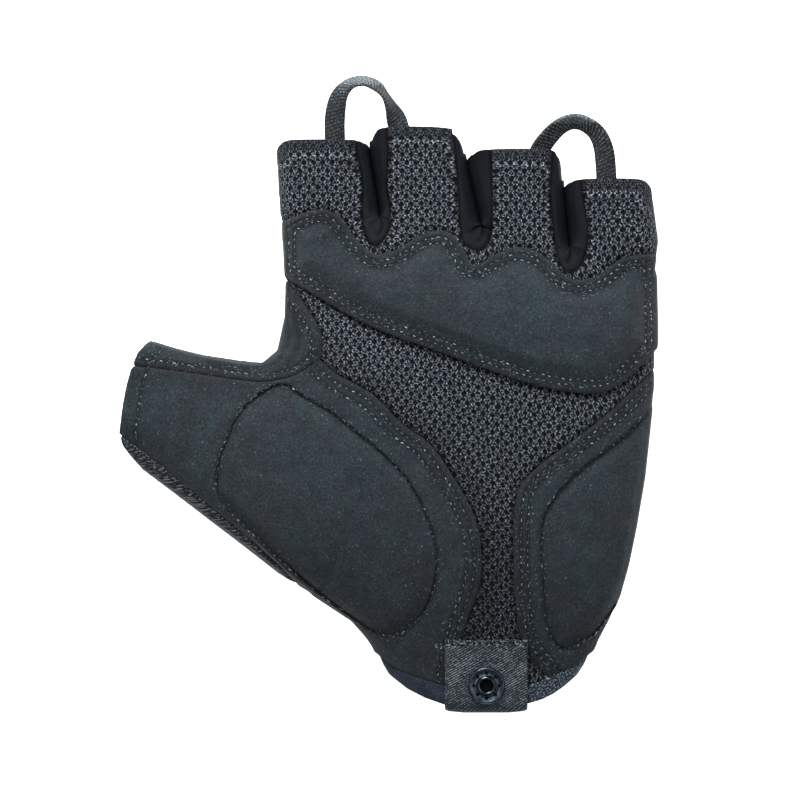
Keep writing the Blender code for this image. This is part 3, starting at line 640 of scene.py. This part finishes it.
def elasticFinish():  # smooth and navy on the thumb's side, flecked towards the other
    finish = Finish("elastic")
    cloth, x, _ = finish.weave()
    broad = finish.noise(cloth, 0.28)
    fuzz = finish.noise(cloth, 2.1, 2.0, 0.6)
    ribs = (x * (math.tau / elasticLook["rib"])).cosine()
    dark = finish.ramp(broad, 0.3, 0.7, 0.7, 1.25) * finish.ramp(ribs, -1.0, 1.0, 0.9, 1.06)
    share = finish.ramp(x, elasticLook["fleckFrom"], elasticLook["fleckFull"], 0.06, 0.62)
    colour = finish.mixed(finish.ramp(fuzz, 0.52, 0.66) * share,
                          finish.scaled(srgb(elasticLook["colour"]), dark),
                          srgb(elasticLook["fleck"]))
    return finish.skin(colour, 0.8, 0.15, broad * 2.0 + fuzz * 0.3, 0.8, 0.4)


finishes = {"suede": suedeFinish(), "knit": knitFinish(), "lycra": lycraFinish(),
            "backKnit": backFinish(), "sideKnit": sideFinish(), "elastic": elasticFinish()}
print("finishes made:", len(finishes))

suedePanels = {
    "voxel": 0.45,
    "edgeRoll": 0.45,        # how far an edge turns down to its seam
    "edgeWidth": 1.1,
    # painted shade: how much darker the suede grows near its seams
    "edgeShade": 0.2,
    "stitchGroove": 0.26,
    "grooveWidth": 0.6,
    "thenarRise": 1.85,
    "heelRise": 1.7,
    "knuckleRise": 2.3,
    "knuckleInset": 3.5,
    "knuckleTop": 2.1,       # how far the CAD's pad stands above the palm
    # painted shade: how much darker the crotch folds are
    "foldShade": 0.45,
}
crotchFolds = [
    [(-27.6, 29.0), (-25.4, 22.0), (-23.8, 14.0), (-26.6, 8.0)],
    [(-27.2, 22.0), (-26.4, 15.0), (-28.6, 9.6)],
    [(-30.0, 8.2), (-38.0, 6.6), (-48.0, 8.0)],
]
foldLines = [curveThrough(fold) for fold in crotchFolds]


def insetLoop(outline, distance):
    ring = spaced(ringOf(outline), 0.8)[:-1]
    run = unitRows(np.roll(ring, -1, axis=0) - np.roll(ring, 1, axis=0))
    moved = ring + np.column_stack([run[:, 1], -run[:, 0]]) * distance
    near = distanceTo(moved, ringOf(outline))
    return ringOf(moved[(near > distance * 0.93) & insideOf(moved, outline)])


def beside(name, *distances):
    return [shiftedLine(lines[name], distance) for distance in distances]


mouthRow = beside("thumbMouth", 4.0)[0]
stitchRows = {
    "knuckle_panel": [insetLoop(knuckleOutline, 1.7), insetLoop(knuckleOutline, 3.2)],
    "thumb_panel": [*beside("thumbEdge", -2.0, -4.1), ringOf(pads["thenar"]), mouthRow[6:]],
    "heel_panel": [*beside("heelEdge", 1.9, 3.7), pads["heel"]],
    "crotch_strip": [*beside("crotchLow", 2.0), *beside("crotchRight", 2.8), mouthRow[:7]],
}


def shapeSuede(node, name, seams, level):
    obj, points = softWall(node, name, suedePanels["voxel"], outward=0.0)
    onKnuckle, onCrotch = node == "knuckle_panel", node == "crotch_strip"
    x, y, z = points.T
    if onKnuckle:
        x += 0.55 * fades(-27.0, -18.0, x)
    if onCrotch:
        x -= 0.35 * smoothStep(12.0, 20.0, y)
    share = outerShare(points, suedePanels["knuckleTop"] if onKnuckle else 0.0)
    lift, rim, sewn, lint = np.zeros((4, len(points)))
    meetSeam(points, lines["cuff"])
    for seam in seams:
        meetSeam(points, lines[seam])
        rim = np.maximum(rim, fades(0.9, 1.7, distanceTo(points, lines[seam])))
    meetSideSeam(points)
    # painted shade: the suede grows darker towards the bottom, near its seams and along the crotch
    # folds
    shade = 0.76 + 0.24 * smoothStep(-66.0, -25.0, y)
    for seam in seams:
        away = distanceTo(points, lines[seam])
        shade *= 1 - suedePanels["edgeShade"] * fades(2.5, 6.0, away)
        lift -= suedePanels["edgeRoll"] * fades(0, suedePanels["edgeWidth"], away)
    # painted shade along the stitch rows, and lint gathers beside them
    for row in stitchRows[node]:
        away = distanceTo(points, row)
        sewn = np.maximum(sewn, bell(away, 0.55))
        lint = np.maximum(lint, fades(0.6, 2.6, away))
        lift += groove(away, suedePanels["grooveWidth"], suedePanels["stitchGroove"])
    for fold in foldLines if onCrotch else []:
        shade *= 1 - suedePanels["foldShade"] * bell(distanceTo(points, fold), 1.1)
    z += (lift + level(points)) * share
    setPoints(obj, points)
    storeMasks(obj, rim=rim, sewn=sewn, lint=lint, shade=shade)
    return dress(obj, finishes["suede"])


def knuckleLevel(points):
    away = distanceTo(points, ringOf(knuckleOutline))
    away = np.where(insideOf(points, knuckleOutline), away, 0.0) - suedePanels["knuckleInset"]
    return suedePanels["knuckleRise"] * (0.7 * smoothStep(0, 4.0, away)
                                         + 0.3 * smoothStep(0, 11.0, away))


def padLevel(pad):
    def level(points):  # undoes the CAD's step, so that the pad rises softly from its stitches
        away = distanceTo(points, ringOf(pads[pad]))
        rise = suedePanels[pad + "Rise"] * (0.72 * smoothStep(0.2, 4.0, away)
                                            + 0.28 * smoothStep(0.2, 10.4, away))
        return np.where(insideOf(points, pads[pad]), rise - mapSizes["padStep"], 0.0)
    return level


def crotchLevel(points):
    return sum(groove(distanceTo(points, fold), 0.9, depth)
               for fold, depth in zip(foldLines, (0.45, 0.4, 0.3)))


suedeTable = {  # the CAD node, the piece, the seams it meets and the level of its top
    "knuckle": ("knuckle_panel", "knuckle_pad", ("knuckleTop", "knuckleLow"), knuckleLevel),
    "thumb": ("thumb_panel", "thumb_suede", ("thumbEdge", "crotchLow", "thumbStrip"),
              padLevel("thenar")),
    "heel": ("heel_panel", "heel_suede", ("heelEdge",), padLevel("heel")),
    "crotch": ("crotch_strip", "crotch_suede", ("crotchLow", "crotchRight"), crotchLevel),
}
softPieces = {key: shapeSuede(*row) for key, row in suedeTable.items()}
print("suede panels shaped")

knitPanels = {
    "voxel": 0.47,
    "gussetVoxel": 0.36,
    "seamDip": 0.4,
    "hemRise": 0.2,
    "gussetPull": (0.8, 2.2),  # how far a wall is drawn to the slits' seams, and from where
    "slitPull": 0.55,
    "footPull": 1.5,         # how far the foot of a slit is drawn together
}
creases = [
    [(-5.2, 64.4), (-3.6, 56.0), (-2.4, 47.9)],
    [(20.8, 61.2), (22.6, 53.0), (24.4, 45.8)],
    [(46.6, 54.3), (47.4, 47.0), (48.0, 39.7)],
]
puckers = [
    [(-2.4, 47.9), (-1.4, 44.6), (-2.6, 42.4)], [(-2.4, 47.9), (-4.6, 45.2)],
    [(24.4, 45.8), (25.2, 43.0), (24.0, 41.0)], [(24.4, 45.8), (22.4, 43.4)],
    [(48.0, 39.7), (48.6, 37.0), (47.6, 35.2)], [(48.0, 39.7), (46.4, 38.0)],
]
gussets = {
    "fourchette_index_middle": [
        (-9.3, 80.0), (-8.8, 66.3), (-7.0, 55.6), (-7.2, 46.8), (-6.0, 41.4), (-3.6, 39.2),
        (-0.7, 42.1), (0.6, 47.4), (-0.6, 55.6), (-0.3, 64.5), (-1.4, 80.0)],
    "fourchette_middle_ring": [
        (16.6, 80.0), (16.9, 69.0), (18.1, 58.0), (19.1, 43.0), (21.2, 38.9), (24.8, 38.3),
        (27.1, 42.5), (27.4, 54.0), (26.9, 63.8), (26.6, 80.0)],
    "fourchette_ring_little": [
        (43.6, 80.0), (43.1, 61.0), (42.9, 52.2), (44.3, 38.5), (46.1, 33.4), (48.1, 32.2),
        (51.2, 34.6), (52.9, 41.6), (52.0, 49.5), (51.1, 56.0), (50.8, 80.0)],
}
gussetLines = {name: curveThrough(points, 4) for name, points in gussets.items()}
creaseLines = [curveThrough(line, 4) for line in creases]
puckerLines = [curveThrough(line, 4) for line in puckers]


def shapePalm():
    obj, points = softWall("palm_mesh", "palm_knit", knitPanels["voxel"])
    share = outerShare(points)
    flat = points.copy()
    for name in ("thumbEdge", "heelEdge", "crotchRight", "cuff"):
        meetSeam(points, lines[name])
    for line in gussetLines.values():
        meetSeam(points, line, *knitPanels["gussetPull"])
    meetSideSeam(points)
    lift, hem, hemRow, tint, tipShare = np.zeros((5, len(points)))
    # painted shade: the net grows darker at its seams, in a band along the thumb edge and towards
    # the bottom; the bands at the tip hems are darker too
    shade = 1 - 0.3 * fades(1.0, 9.0, distanceTo(points, lines["thumbEdge"]))
    for name in ("knuckleTop", "knuckleLow", "thumbEdge", "heelEdge", "crotchRight"):
        away = distanceTo(points, lines[name])
        lift -= knitPanels["seamDip"] * fades(0.0, 1.6, away)
        shade *= 1 - 0.35 * fades(0.0, 2.0, away)
    for line in gussetLines.values():
        away = distanceTo(points, line)
        lift -= knitPanels["seamDip"] * fades(0.0, 1.4, away)
        shade *= 1 - 0.8 * fades(0.15, 0.85, away)
        tint = np.maximum(tint, fades(0.6, 2.0, away))
    for edge in hems:
        away = distanceTo(points, edge)
        lift += knitPanels["hemRise"] * fades(2.6, 3.6, away)
        lift += groove(away - 3.2, 0.5, 0.22)
        hem = np.maximum(hem, fades(2.2, 3.4, away))
        hemRow = np.maximum(hemRow, bell(away - 3.9, 0.8))
        shade *= 1 - 0.3 * fades(2.2, 3.2, away)
        shade *= 1 - 0.5 * bell(away - 5.3, 0.45)
        tipShare = np.maximum(tipShare, fades(3.0, 7.5, away))
    shade *= 0.5 + 0.5 * smoothStep(-66.0, 6.0, points[:, 1])
    points[:, 2] += lift * share
    setPoints(obj, points)
    storeMasks(obj, dim=shade, hem=hem, hemRow=hemRow, tint=tint * tipShare)
    clothMap(obj, flat, None, 1.0)
    return dress(obj, finishes["knit"])


def closeSlit(points, track):  # the two walls of a slit lean together
    x, y, _ = points.T
    offset = x - np.interp(y, track[::-1, 1], track[::-1, 0])
    reach = (distanceTo(points, track) < 2.8) & (y > track[-1, 1] - 1.6)
    pull = np.clip(np.abs(offset), 0, knitPanels["slitPull"]) * fades(0.6, 2.6, np.abs(offset))
    x -= np.where(reach, np.sign(offset) * pull * 1.08, 0.0)
    foot = points[:, :2] - track[-1] + (0.0, 0.8)
    far = np.linalg.norm(foot, axis=1)
    draw = np.minimum(far, knitPanels["footPull"]) * fades(1.4, 3.2, far) / np.maximum(far, 1e-6)
    points[:, :2] -= foot * draw[:, None]


def shapeGusset(node):
    obj, points = softWall(node, node.replace("fourchette", "gusset"),
                           knitPanels["gussetVoxel"], 4, 0.2)
    share = outerShare(points)
    meetSeam(points, gussetLines[node], *knitPanels["gussetPull"])
    away = distanceTo(points, gussetLines[node])
    lift = -0.35 * fades(0.0, 1.1, away)
    # painted shade: the gusset grows darker along its seam, in its creases and at the puckers
    shade = 1 - 0.85 * fades(0.15, 0.8, away)
    for line in creaseLines:
        away = distanceTo(points, line)
        lift -= 0.5 * fades(0.0, 1.6, away)
        shade *= 1 - 0.93 * bell(away, 1.35)
    for line in puckerLines:
        away = distanceTo(points, line)
        lift += groove(away, 0.5, 0.35)
        shade *= 1 - 0.7 * bell(away, 0.55)
    for line in creaseLines:
        closeSlit(points, line)
    points[:, 2] += lift * share
    setPoints(obj, points)
    storeMasks(obj, dim=shade)
    return dress(obj, finishes["lycra"])


def shapeBack(node, name, voxel, finish, zero):
    obj, points = softWall(node, name, voxel)
    if node == "cuff_binding":
        front = points[:, 2] > 7.0
        facing = points[front]
        meetSeam(facing, lines["cuff"], 0.5)
        points[front] = facing
    else:
        if node == "thumb_back":
            meetSeam(points, lines["thumbStrip"])
        meetSideSeam(points)
    setPoints(obj, points)
    clothMap(obj, points, zero, 1.0 if zero is None else -1.0)
    return dress(obj, finishes[finish])


softPieces["palm"] = shapePalm()
for gusset in gussets:
    softPieces[gusset] = shapeGusset(gusset)
softPieces["back"] = shapeBack("back_panel", "back_knit", 0.75, "backKnit", 0.0)
softPieces["thumbBack"] = shapeBack("thumb_back", "thumb_side_knit", 0.5, "sideKnit", 0.0)
softPieces["binding"] = shapeBack("cuff_binding", "cuff_elastic", 0.4, "elastic", None)
print("knit panels shaped")

stitchSizes = {"pitch": 1.9, "long": 1.1, "wide": 0.25, "tall": 0.26, "sink": 0.04,
               "dive": 0.32,            # how far the ends go down into the cloth
               "stray": 0.1, "turn": 0.16, "step": 1.4,
               # dim and lit are a shaded and a lit copy of the grey thread, painted light
               "dim": (40, 46, 52), "lit": (138, 148, 156)}


def oneStitch():
    deselectAll()
    bpy.ops.mesh.primitive_uv_sphere_add(segments=8, ring_count=6, radius=0.5 * mm)
    obj = bpy.context.object
    openAll()
    bpy.ops.transform.rotate(value=math.pi / 2, orient_axis="Y", center_override=(0, 0, 0))
    bpy.ops.transform.resize(value=(stitchSizes["long"], stitchSizes["wide"],
                                    stitchSizes["tall"]), center_override=(0, 0, 0))
    bpy.ops.object.mode_set(mode="OBJECT")
    points = getPoints(obj)
    points[:, 2] -= stitchSizes["dive"] * (points[:, 0] / (stitchSizes["long"] / 2)) ** 2
    faces = [tuple(p.vertices) for p in obj.data.polygons]
    bpy.data.objects.remove(obj)
    return points, faces


stitchPoints, stitchFaces = oneStitch()


def sewRows(name, rows, tree, pitch=stitchSizes["pitch"], size=1.0, seed=1, ragged=1.0):
    rng = np.random.default_rng(seed)
    corners, faces = [], []
    for row in rows:
        stops = spaced(row, pitch)
        for a, b in zip(stops[:-1], stops[1:]):
            middle = (a + b) / 2 + rng.normal(0, stitchSizes["stray"] * ragged, 2)
            run = (b - a) / np.linalg.norm(b - a)
            ends = [tree.ray_cast(Vector((*spot, 60.0)) * mm, Vector((0, 0, -1)))[:2]
                    for spot in (middle - run * 0.45, middle + run * 0.45)]
            if ends[0][0] is None or ends[1][0] is None:
                continue
            low, high = ends[0][0].z / mm, ends[1][0].z / mm
            if abs(low - high) > stitchSizes["step"] or ends[0][1].z < 0.25:
                continue
            along = np.array([run[0] * 0.9, run[1] * 0.9, high - low])
            along /= np.linalg.norm(along)
            up = np.array(ends[0][1])
            up -= along * (up @ along)
            up /= np.linalg.norm(up)
            turn = rng.normal(0, stitchSizes["turn"] * ragged)
            side = np.cross(up, along) + along * turn
            along = along - side * turn
            scale = size * (1 + rng.normal(0, 0.14)) * np.array([1 + rng.normal(0, 0.2), 1, 1])
            shaped = stitchPoints * scale
            placed = (shaped[:, :1] * along + shaped[:, 1:2] * side + shaped[:, 2:] * up) + (
                middle[0], middle[1], (low + high) / 2 + stitchSizes["sink"])
            start = len(corners) * len(stitchPoints)
            corners.append(placed)
            faces += [tuple(start + k for k in face) for face in stitchFaces]
    obj = meshObject(name, (np.vstack(corners) * mm).tolist(), faces)
    obj.data.shade_smooth()
    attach(obj, "root")
    return dress(obj, finishes["thread"])


def threadFinish():
    finish = Finish("thread")
    place = finish.places()
    y = finish.add("ShaderNodeSeparateXYZ", inputs={0: place}, output=1)
    broad = finish.noise(place, 0.5, 1.0)
    # painted shade: the thread dims towards the bottom
    share = finish.ramp(broad, 0.42, 0.66, 0.05, 1.0) * finish.ramp(y, -62.0, -25.0, 0.4, 1.0)
    colour = finish.mixed(share, srgb(stitchSizes["dim"]), srgb(stitchSizes["lit"]))
    twist = finish.noise(place, 3.0, 2.0, 0.6)
    return finish.skin(colour, 0.5, 0.5, twist, 0.5, 0.08, Sheen_Weight=0.05)


finishes["thread"] = threadFinish()
seamTree = treeOf(list(softPieces.values()))
for index, (node, rows) in enumerate(stitchRows.items()):
    sewRows("stitches_" + node.split("_")[0], rows, seamTree, seed=index + 3)
print("stitches sewn")

loopSizes = {"wide": 5.4, "thick": 0.9, "across": 8, "edge": 0.72, "frayed": 0.25}
loopRoutes = {  # x, y, z and the ribbon's tilt, as the CAD has them
    "loop_index_middle": [
        (-14.4, 59.5, 13.1, -6), (-14.4, 67.0, 12.9, -7), (-14.4, 73.5, 13.0, 10),
        (-13.3, 79.2, 12.9, 38), (-10.6, 82.4, 12.5, 57), (-6.9, 83.3, 12.3, 62),
        (-3.4, 82.0, 12.3, 60), (-0.9, 79.2, 12.5, 70), (0.9, 75.8, 12.9, 50),
        (2.6, 71.0, 12.7, -3), (3.8, 66.0, 12.9, -6), (4.8, 61.0, 13.0, -6)],
    "loop_ring_little": [
        (38.2, 57.5, 12.6, -12), (39.2, 62.0, 12.0, -19), (40.5, 65.6, 11.6, -27),
        (43.7, 69.6, 12.0, -37), (46.6, 71.8, 12.2, -45), (49.6, 72.5, 12.4, -48),
        (52.7, 71.5, 12.7, -46), (55.4, 69.1, 13.0, -38), (57.0, 65.3, 13.2, -24),
        (57.6, 60.5, 13.2, -5), (57.8, 55.0, 13.1, 0), (57.6, 50.0, 13.2, 0)],
}
def ribbonLoft(name, centres, flats, ups):  # a flat band with rounded selvedges
    wide, thick, across = loopSizes["wide"], loopSizes["thick"], loopSizes["across"]
    ring = [(-wide / 2 + wide * k / across,
             thick / 2 * (loopSizes["edge"] if k in (0, across) else 1)) for k in range(across + 1)]
    ring += [(x, -y) for x, y in reversed(ring)]
    count, rows = len(ring), len(centres)
    corners = [centre + flat * x + up * y
               for centre, flat, up in zip(centres, flats, ups) for x, y in ring]
    faces = []
    for row in range(rows - 1):
        for k in range(count):
            a, b = row * count + k, row * count + (k + 1) % count
            faces.append((a, b, b + count, a + count))
    faces += [tuple(range(count))[::-1], tuple((rows - 1) * count + k for k in range(count))]
    obj = meshObject(name, (np.array(corners) * mm).tolist(), faces)
    makeActive(obj)
    openAll()
    bpy.ops.mesh.normals_make_consistent(inside=False)
    bpy.ops.object.mode_set(mode="OBJECT")
    storeCloth(obj, [(x, stop, y) for stop in lengthAlong(centres) for x, y in ring])
    obj.data.shade_smooth()
    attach(obj, "root")
    return obj


def webbingFinish(name, colour, light, pitch, slant, strength):
    # a fine twill: bright thread tops in slanting lines, dark gaps between them
    finish = Finish(name)
    cloth, x, y = finish.weave()
    ripple = (finish.noise(cloth, 0.35, 1.0) - 0.5) * 0.5
    across = ((x + ripple) * (math.tau / pitch)).sine()
    along = ((y + ripple) * (math.tau / pitch) + x * (slant * math.pi / pitch)).sine()
    tops = finish.ramp(across * along, 0.12, 0.6)
    fuzz = finish.noise(cloth, 1.9, 2.0, 0.6)
    broad = finish.noise(cloth, 0.22, 1.0)
    share = tops * finish.ramp(fuzz, 0.4, 0.62, 0.1, 1.0) * finish.ramp(broad, 0.3, 0.7, 0.6, 1.1)
    frayed = finish.attribute("frayed")
    loose = finish.ramp(fuzz, 0.52, 0.66) * 0.6
    # painted shade and highlight: the dim mask scales the light threads, and where it rises above 1
    # a crown of light is added
    share = (share * (1.0 - frayed) + loose * frayed) * finish.attribute("dim")
    crown = finish.ramp(finish.attribute("dim"), 1.02, 1.15) * (fuzz * 0.26 + 0.05)
    tint = finish.mixed((share * 0.85 + crown).clamped(), srgb(colour), srgb(light))
    return finish.skin(tint, 0.7, 0.2, tops * 0.7 + fuzz * 0.4, strength, 0.18)


finishes["ribbon"] = webbingFinish("ribbon", (13, 15, 18), (150, 162, 170), 0.95, 1.3, 0.9)
finishes["webbing"] = webbingFinish("webbing", (18, 23, 28), (158, 172, 182), 0.66, 0.9, 0.8)


def buildLoop(node):
    rows = curveThrough(loopRoutes[node], 7)
    centres, tilts = rows[:, :3], np.radians(rows[:, 3])
    flats, ups = [], []
    for along, tilt in zip(unitRows(np.gradient(centres, axis=0)), tilts):
        flat = np.cross(along, (0, 0, 1.0))
        flat /= np.linalg.norm(flat)
        up = np.cross(flat, along)
        flats.append(flat * math.cos(tilt) + up * math.sin(tilt))
        ups.append(up * math.cos(tilt) - flat * math.sin(tilt))
    obj = ribbonLoft(node.replace("loop", "ribbon"), centres, flats, ups)
    y = getPoints(obj)[:, 1]
    # painted light: the band grows darker away from its apex and lighter than its own colour at the
    # apex, a painted highlight
    storeMasks(obj, dim=0.4 + 0.75 * smoothStep(y.max() - 9.0, y.max() - 1.0, y),
               frayed=np.full(len(y), loopSizes["frayed"]))
    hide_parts(node)
    return dress(obj, finishes["ribbon"])


for node in loopRoutes:
    softPieces[node] = buildLoop(node)

tabSizes = {"left": 14.8, "right": 36.7, "hem": -66.3, "snapX": 25.8, "snapY": -77.2,
            "voxel": 0.26, "rounds": 6}


def buildWebTab():
    obj = evenMesh("snap_tab", "webbing_tab", tabSizes["voxel"], tabSizes["rounds"])
    points = getPoints(obj)
    x, y, z = points.T
    upper = smoothStep(15.5, 16.5, z)
    fromSnap = np.hypot(x - tabSizes["snapX"], y - tabSizes["snapY"])
    z -= upper * 0.25 * bell(fromSnap - 5.2, 1.1)
    fromSide = np.minimum(x - tabSizes["left"], tabSizes["right"] - x)
    z += upper * 0.12 * bell(fromSide - 0.9, 0.5)
    z += upper * groove(np.abs(y - tabSizes["hem"]), 0.5, 0.2)
    # the dim mask is painted shade, darker towards the tab's lower end; frayed marks its loose hem
    # fibres
    storeMasks(obj, frayed=smoothStep(-67.3, -66.6, y),
               dim=0.3 + 0.7 * smoothStep(-84.5, -79.0, y + (x - tabSizes["snapX"]) * 0.12))
    y += smoothStep(-65.9, -65.1, y) * upper * (0.16 * np.sin(x * 4.1) + 0.14 * np.sin(x * 9.7))
    storeCloth(obj, np.column_stack([x, y - z * 0.4, z]))
    setPoints(obj, points)
    return dress(obj, finishes["webbing"])


softPieces["tab"] = buildWebTab()
tabTree = treeOf([softPieces["tab"]])
sewRows("stitches_tab", [np.array([(15.4, -66.5), (36.2, -66.3)])], tabTree, 1.7, 1.3, 9, 2.2)
tackRow = np.array([(12.2, -66.2), (15.4, -66.9)])
sewRows("stitches_tack", [tackRow, tackRow[::-1] + (0.2, -0.7)], seamTree, 1.0, 1.1, 10, 2.0)
print("tab and loops made")

snapSizes = {"dots": 8, "ring": 3.35, "dot": 0.5, "bore": 1.46, "flange": 1.3, "turns": 96,
             "soften": 0.04, "dark": (42, 49, 56), "light": (58, 66, 74), "hollow": (5, 7, 9)}


def gunmetalFinish():
    finish = Finish("gunmetal")
    place = finish.places()
    wear = finish.noise(place, 0.9, 3.0, 0.6)
    scratch = finish.noise(place, 6.0)
    colour = finish.mixed(finish.ramp(wear, 0.4, 0.62), srgb(snapSizes["dark"]),
                          srgb(snapSizes["light"]))
    rough = finish.ramp(wear, 0.3, 0.7, 0.15, 0.28)
    return finish.skin(colour, rough, 0.5, scratch, 0.12, 0.05, Metallic=1.0)


finishes["gunmetal"] = gunmetalFinish()
# painted shade: a near-black finish for the dark discs in the snap's holes
finishes["hollow"] = Finish("hollow").give(Base_Color=srgb(snapSizes["hollow"]), Roughness=0.9,
                                           Specular_IOR_Level=0.05)


def buildSnap():
    low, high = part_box("snap")
    z0, z1 = low.z / mm, high.z / mm
    seat = z1 - snapSizes["flange"]  # under the flange
    profile = [(0.0, z0), (4.0, z0), (4.0, z0 + 0.6), (2.1, z0 + 0.6), (2.1, seat),
               (4.55, seat), (4.82, seat + 0.12), (4.9, seat + 0.34), (4.84, seat + 0.56),
               (4.66, seat + 0.74), (4.4, seat + 0.8), (4.15, seat + 0.72), (3.95, seat + 0.6),
               (3.3, seat + 0.56), (2.72, seat + 0.6), (2.6, seat + 0.78), (2.52, seat + 1.02),
               (2.36, seat + 1.2), (2.12, seat + 1.3), (1.86, seat + 1.24), (1.68, seat + 1.06),
               (1.6, seat + 0.8), (1.5, seat + 0.2), (1.45, seat - 1.4), (0.9, seat - 1.6),
               (0.0, seat - 1.65)]
    centre = (tabSizes["snapX"] * mm, tabSizes["snapY"] * mm, 0.0)
    obj = meshObject("gunmetal_snap", [(centre[0] + r * mm, centre[1], z * mm) for r, z in profile],
                     [], [(k, k + 1) for k in range(len(profile) - 1)])
    makeActive(obj)
    openAll()
    bpy.ops.mesh.spin(steps=snapSizes["turns"], angle=math.tau, center=centre, axis=(0, 0, 1))
    bpy.ops.mesh.select_all(action="SELECT")
    bpy.ops.mesh.remove_doubles(threshold=0.00001)
    bpy.ops.mesh.normals_make_consistent(inside=False)
    bpy.ops.object.mode_set(mode="OBJECT")
    turns = [math.tau * dot / snapSizes["dots"] for dot in range(snapSizes["dots"])]
    ring = snapSizes["ring"] * mm
    # painted shade: dark discs fill the eight dots and the bore, standing in for the shade inside
    # these holes
    plugs = [(20, snapSizes["dot"], 0.5, (centre[0] + ring * math.cos(turn),
                                          centre[1] + ring * math.sin(turn), (seat + 0.34) * mm))
             for turn in turns]
    plugs.append((32, snapSizes["bore"], 0.4, (centre[0], centre[1], (seat - 0.3) * mm)))
    rounds = []
    for corners, radius, depth, spot in plugs:
        deselectAll()
        bpy.ops.mesh.primitive_cylinder_add(vertices=corners, radius=radius * mm,
                                            depth=depth * mm, location=spot)
        rounds.append(bpy.context.object)
    makeActive(rounds[0])
    for plug in rounds:
        plug.select_set(True)
    bpy.ops.object.join()
    plug = dress(bpy.context.object, finishes["hollow"])
    soften = obj.modifiers.new("soften", "BEVEL")
    soften.width = snapSizes["soften"] * mm
    soften.segments = 2
    soften.limit_method = "ANGLE"
    soften.angle_limit = math.radians(50)
    applyModifiers(obj)
    dress(obj, finishes["gunmetal"])
    makeActive(obj)
    plug.select_set(True)
    bpy.ops.object.join()
    bpy.ops.object.shade_smooth_by_angle(angle=math.radians(35))
    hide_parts("snap")
    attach(obj, "root")


buildSnap()
print("snap made")

stageSizes = {
    "floor": 3.0,
    "paper": (0.9, 0.9, 0.9, 1.0),
    "world": 0.4,
    "centre": (2.9, -1.6),   # where the camera stands, above the glove
    "away": 1500.0,
    "level": 18.0,           # the height that is seen in its true size
    "view": 212.0,
    "sensor": 36.0,
}
white = (1.0, 1.0, 1.0, 1.0)
lights = {  # place, size, power and the spot it looks at
    "keyLight": ((-0.12, 0.5, 0.42), 0.3, 6.5, (0.0, -0.01, 0.0)),
    "fillLight": ((0.6, 0.1, 0.9), 0.8, 3.0, (0, 0, 0)),
    "topLight": ((-0.2, 0.3, 1.2), 0.9, 5.0, (0, 0, 0)),
}

deselectAll()
bpy.ops.mesh.primitive_plane_add(size=stageSizes["floor"], location=(0, 0, 0))
floor = bpy.context.object
floor.name = "floor"
dress(floor, Finish("paper").give(Base_Color=stageSizes["paper"], Roughness=0.9,
                                  Specular_IOR_Level=0.1, Emission_Color=white,
                                  Emission_Strength=1.0))

for name, (place, size, power, aim) in lights.items():
    data = bpy.data.lights.new(name, "AREA")
    data.shape = "DISK"
    data.size = size
    data.energy = power
    light = newObject(name, data)
    light.location = place
    light.rotation_euler = (Vector(aim) - Vector(place)).to_track_quat("-Z", "Y").to_euler()

world = bpy.data.worlds.new("studio")
bpy.context.scene.world = world
world.use_nodes = True
world.node_tree.nodes["Background"].inputs["Color"].default_value = white
world.node_tree.nodes["Background"].inputs["Strength"].default_value = stageSizes["world"]

lens = bpy.data.cameras.new("camera")
lens.sensor_width = stageSizes["sensor"]
lens.lens = (stageSizes["sensor"] * (stageSizes["away"] - stageSizes["level"])
             / stageSizes["view"])
lens.clip_start = 0.05
lens.clip_end = 20.0
camera = newObject("camera", lens)
camera.location = (stageSizes["centre"][0] * mm, stageSizes["centre"][1] * mm,
                   stageSizes["away"] * mm)
bpy.context.scene.camera = camera
bpy.context.scene.view_settings.view_transform = "Standard"
print("stage, lights and camera set")
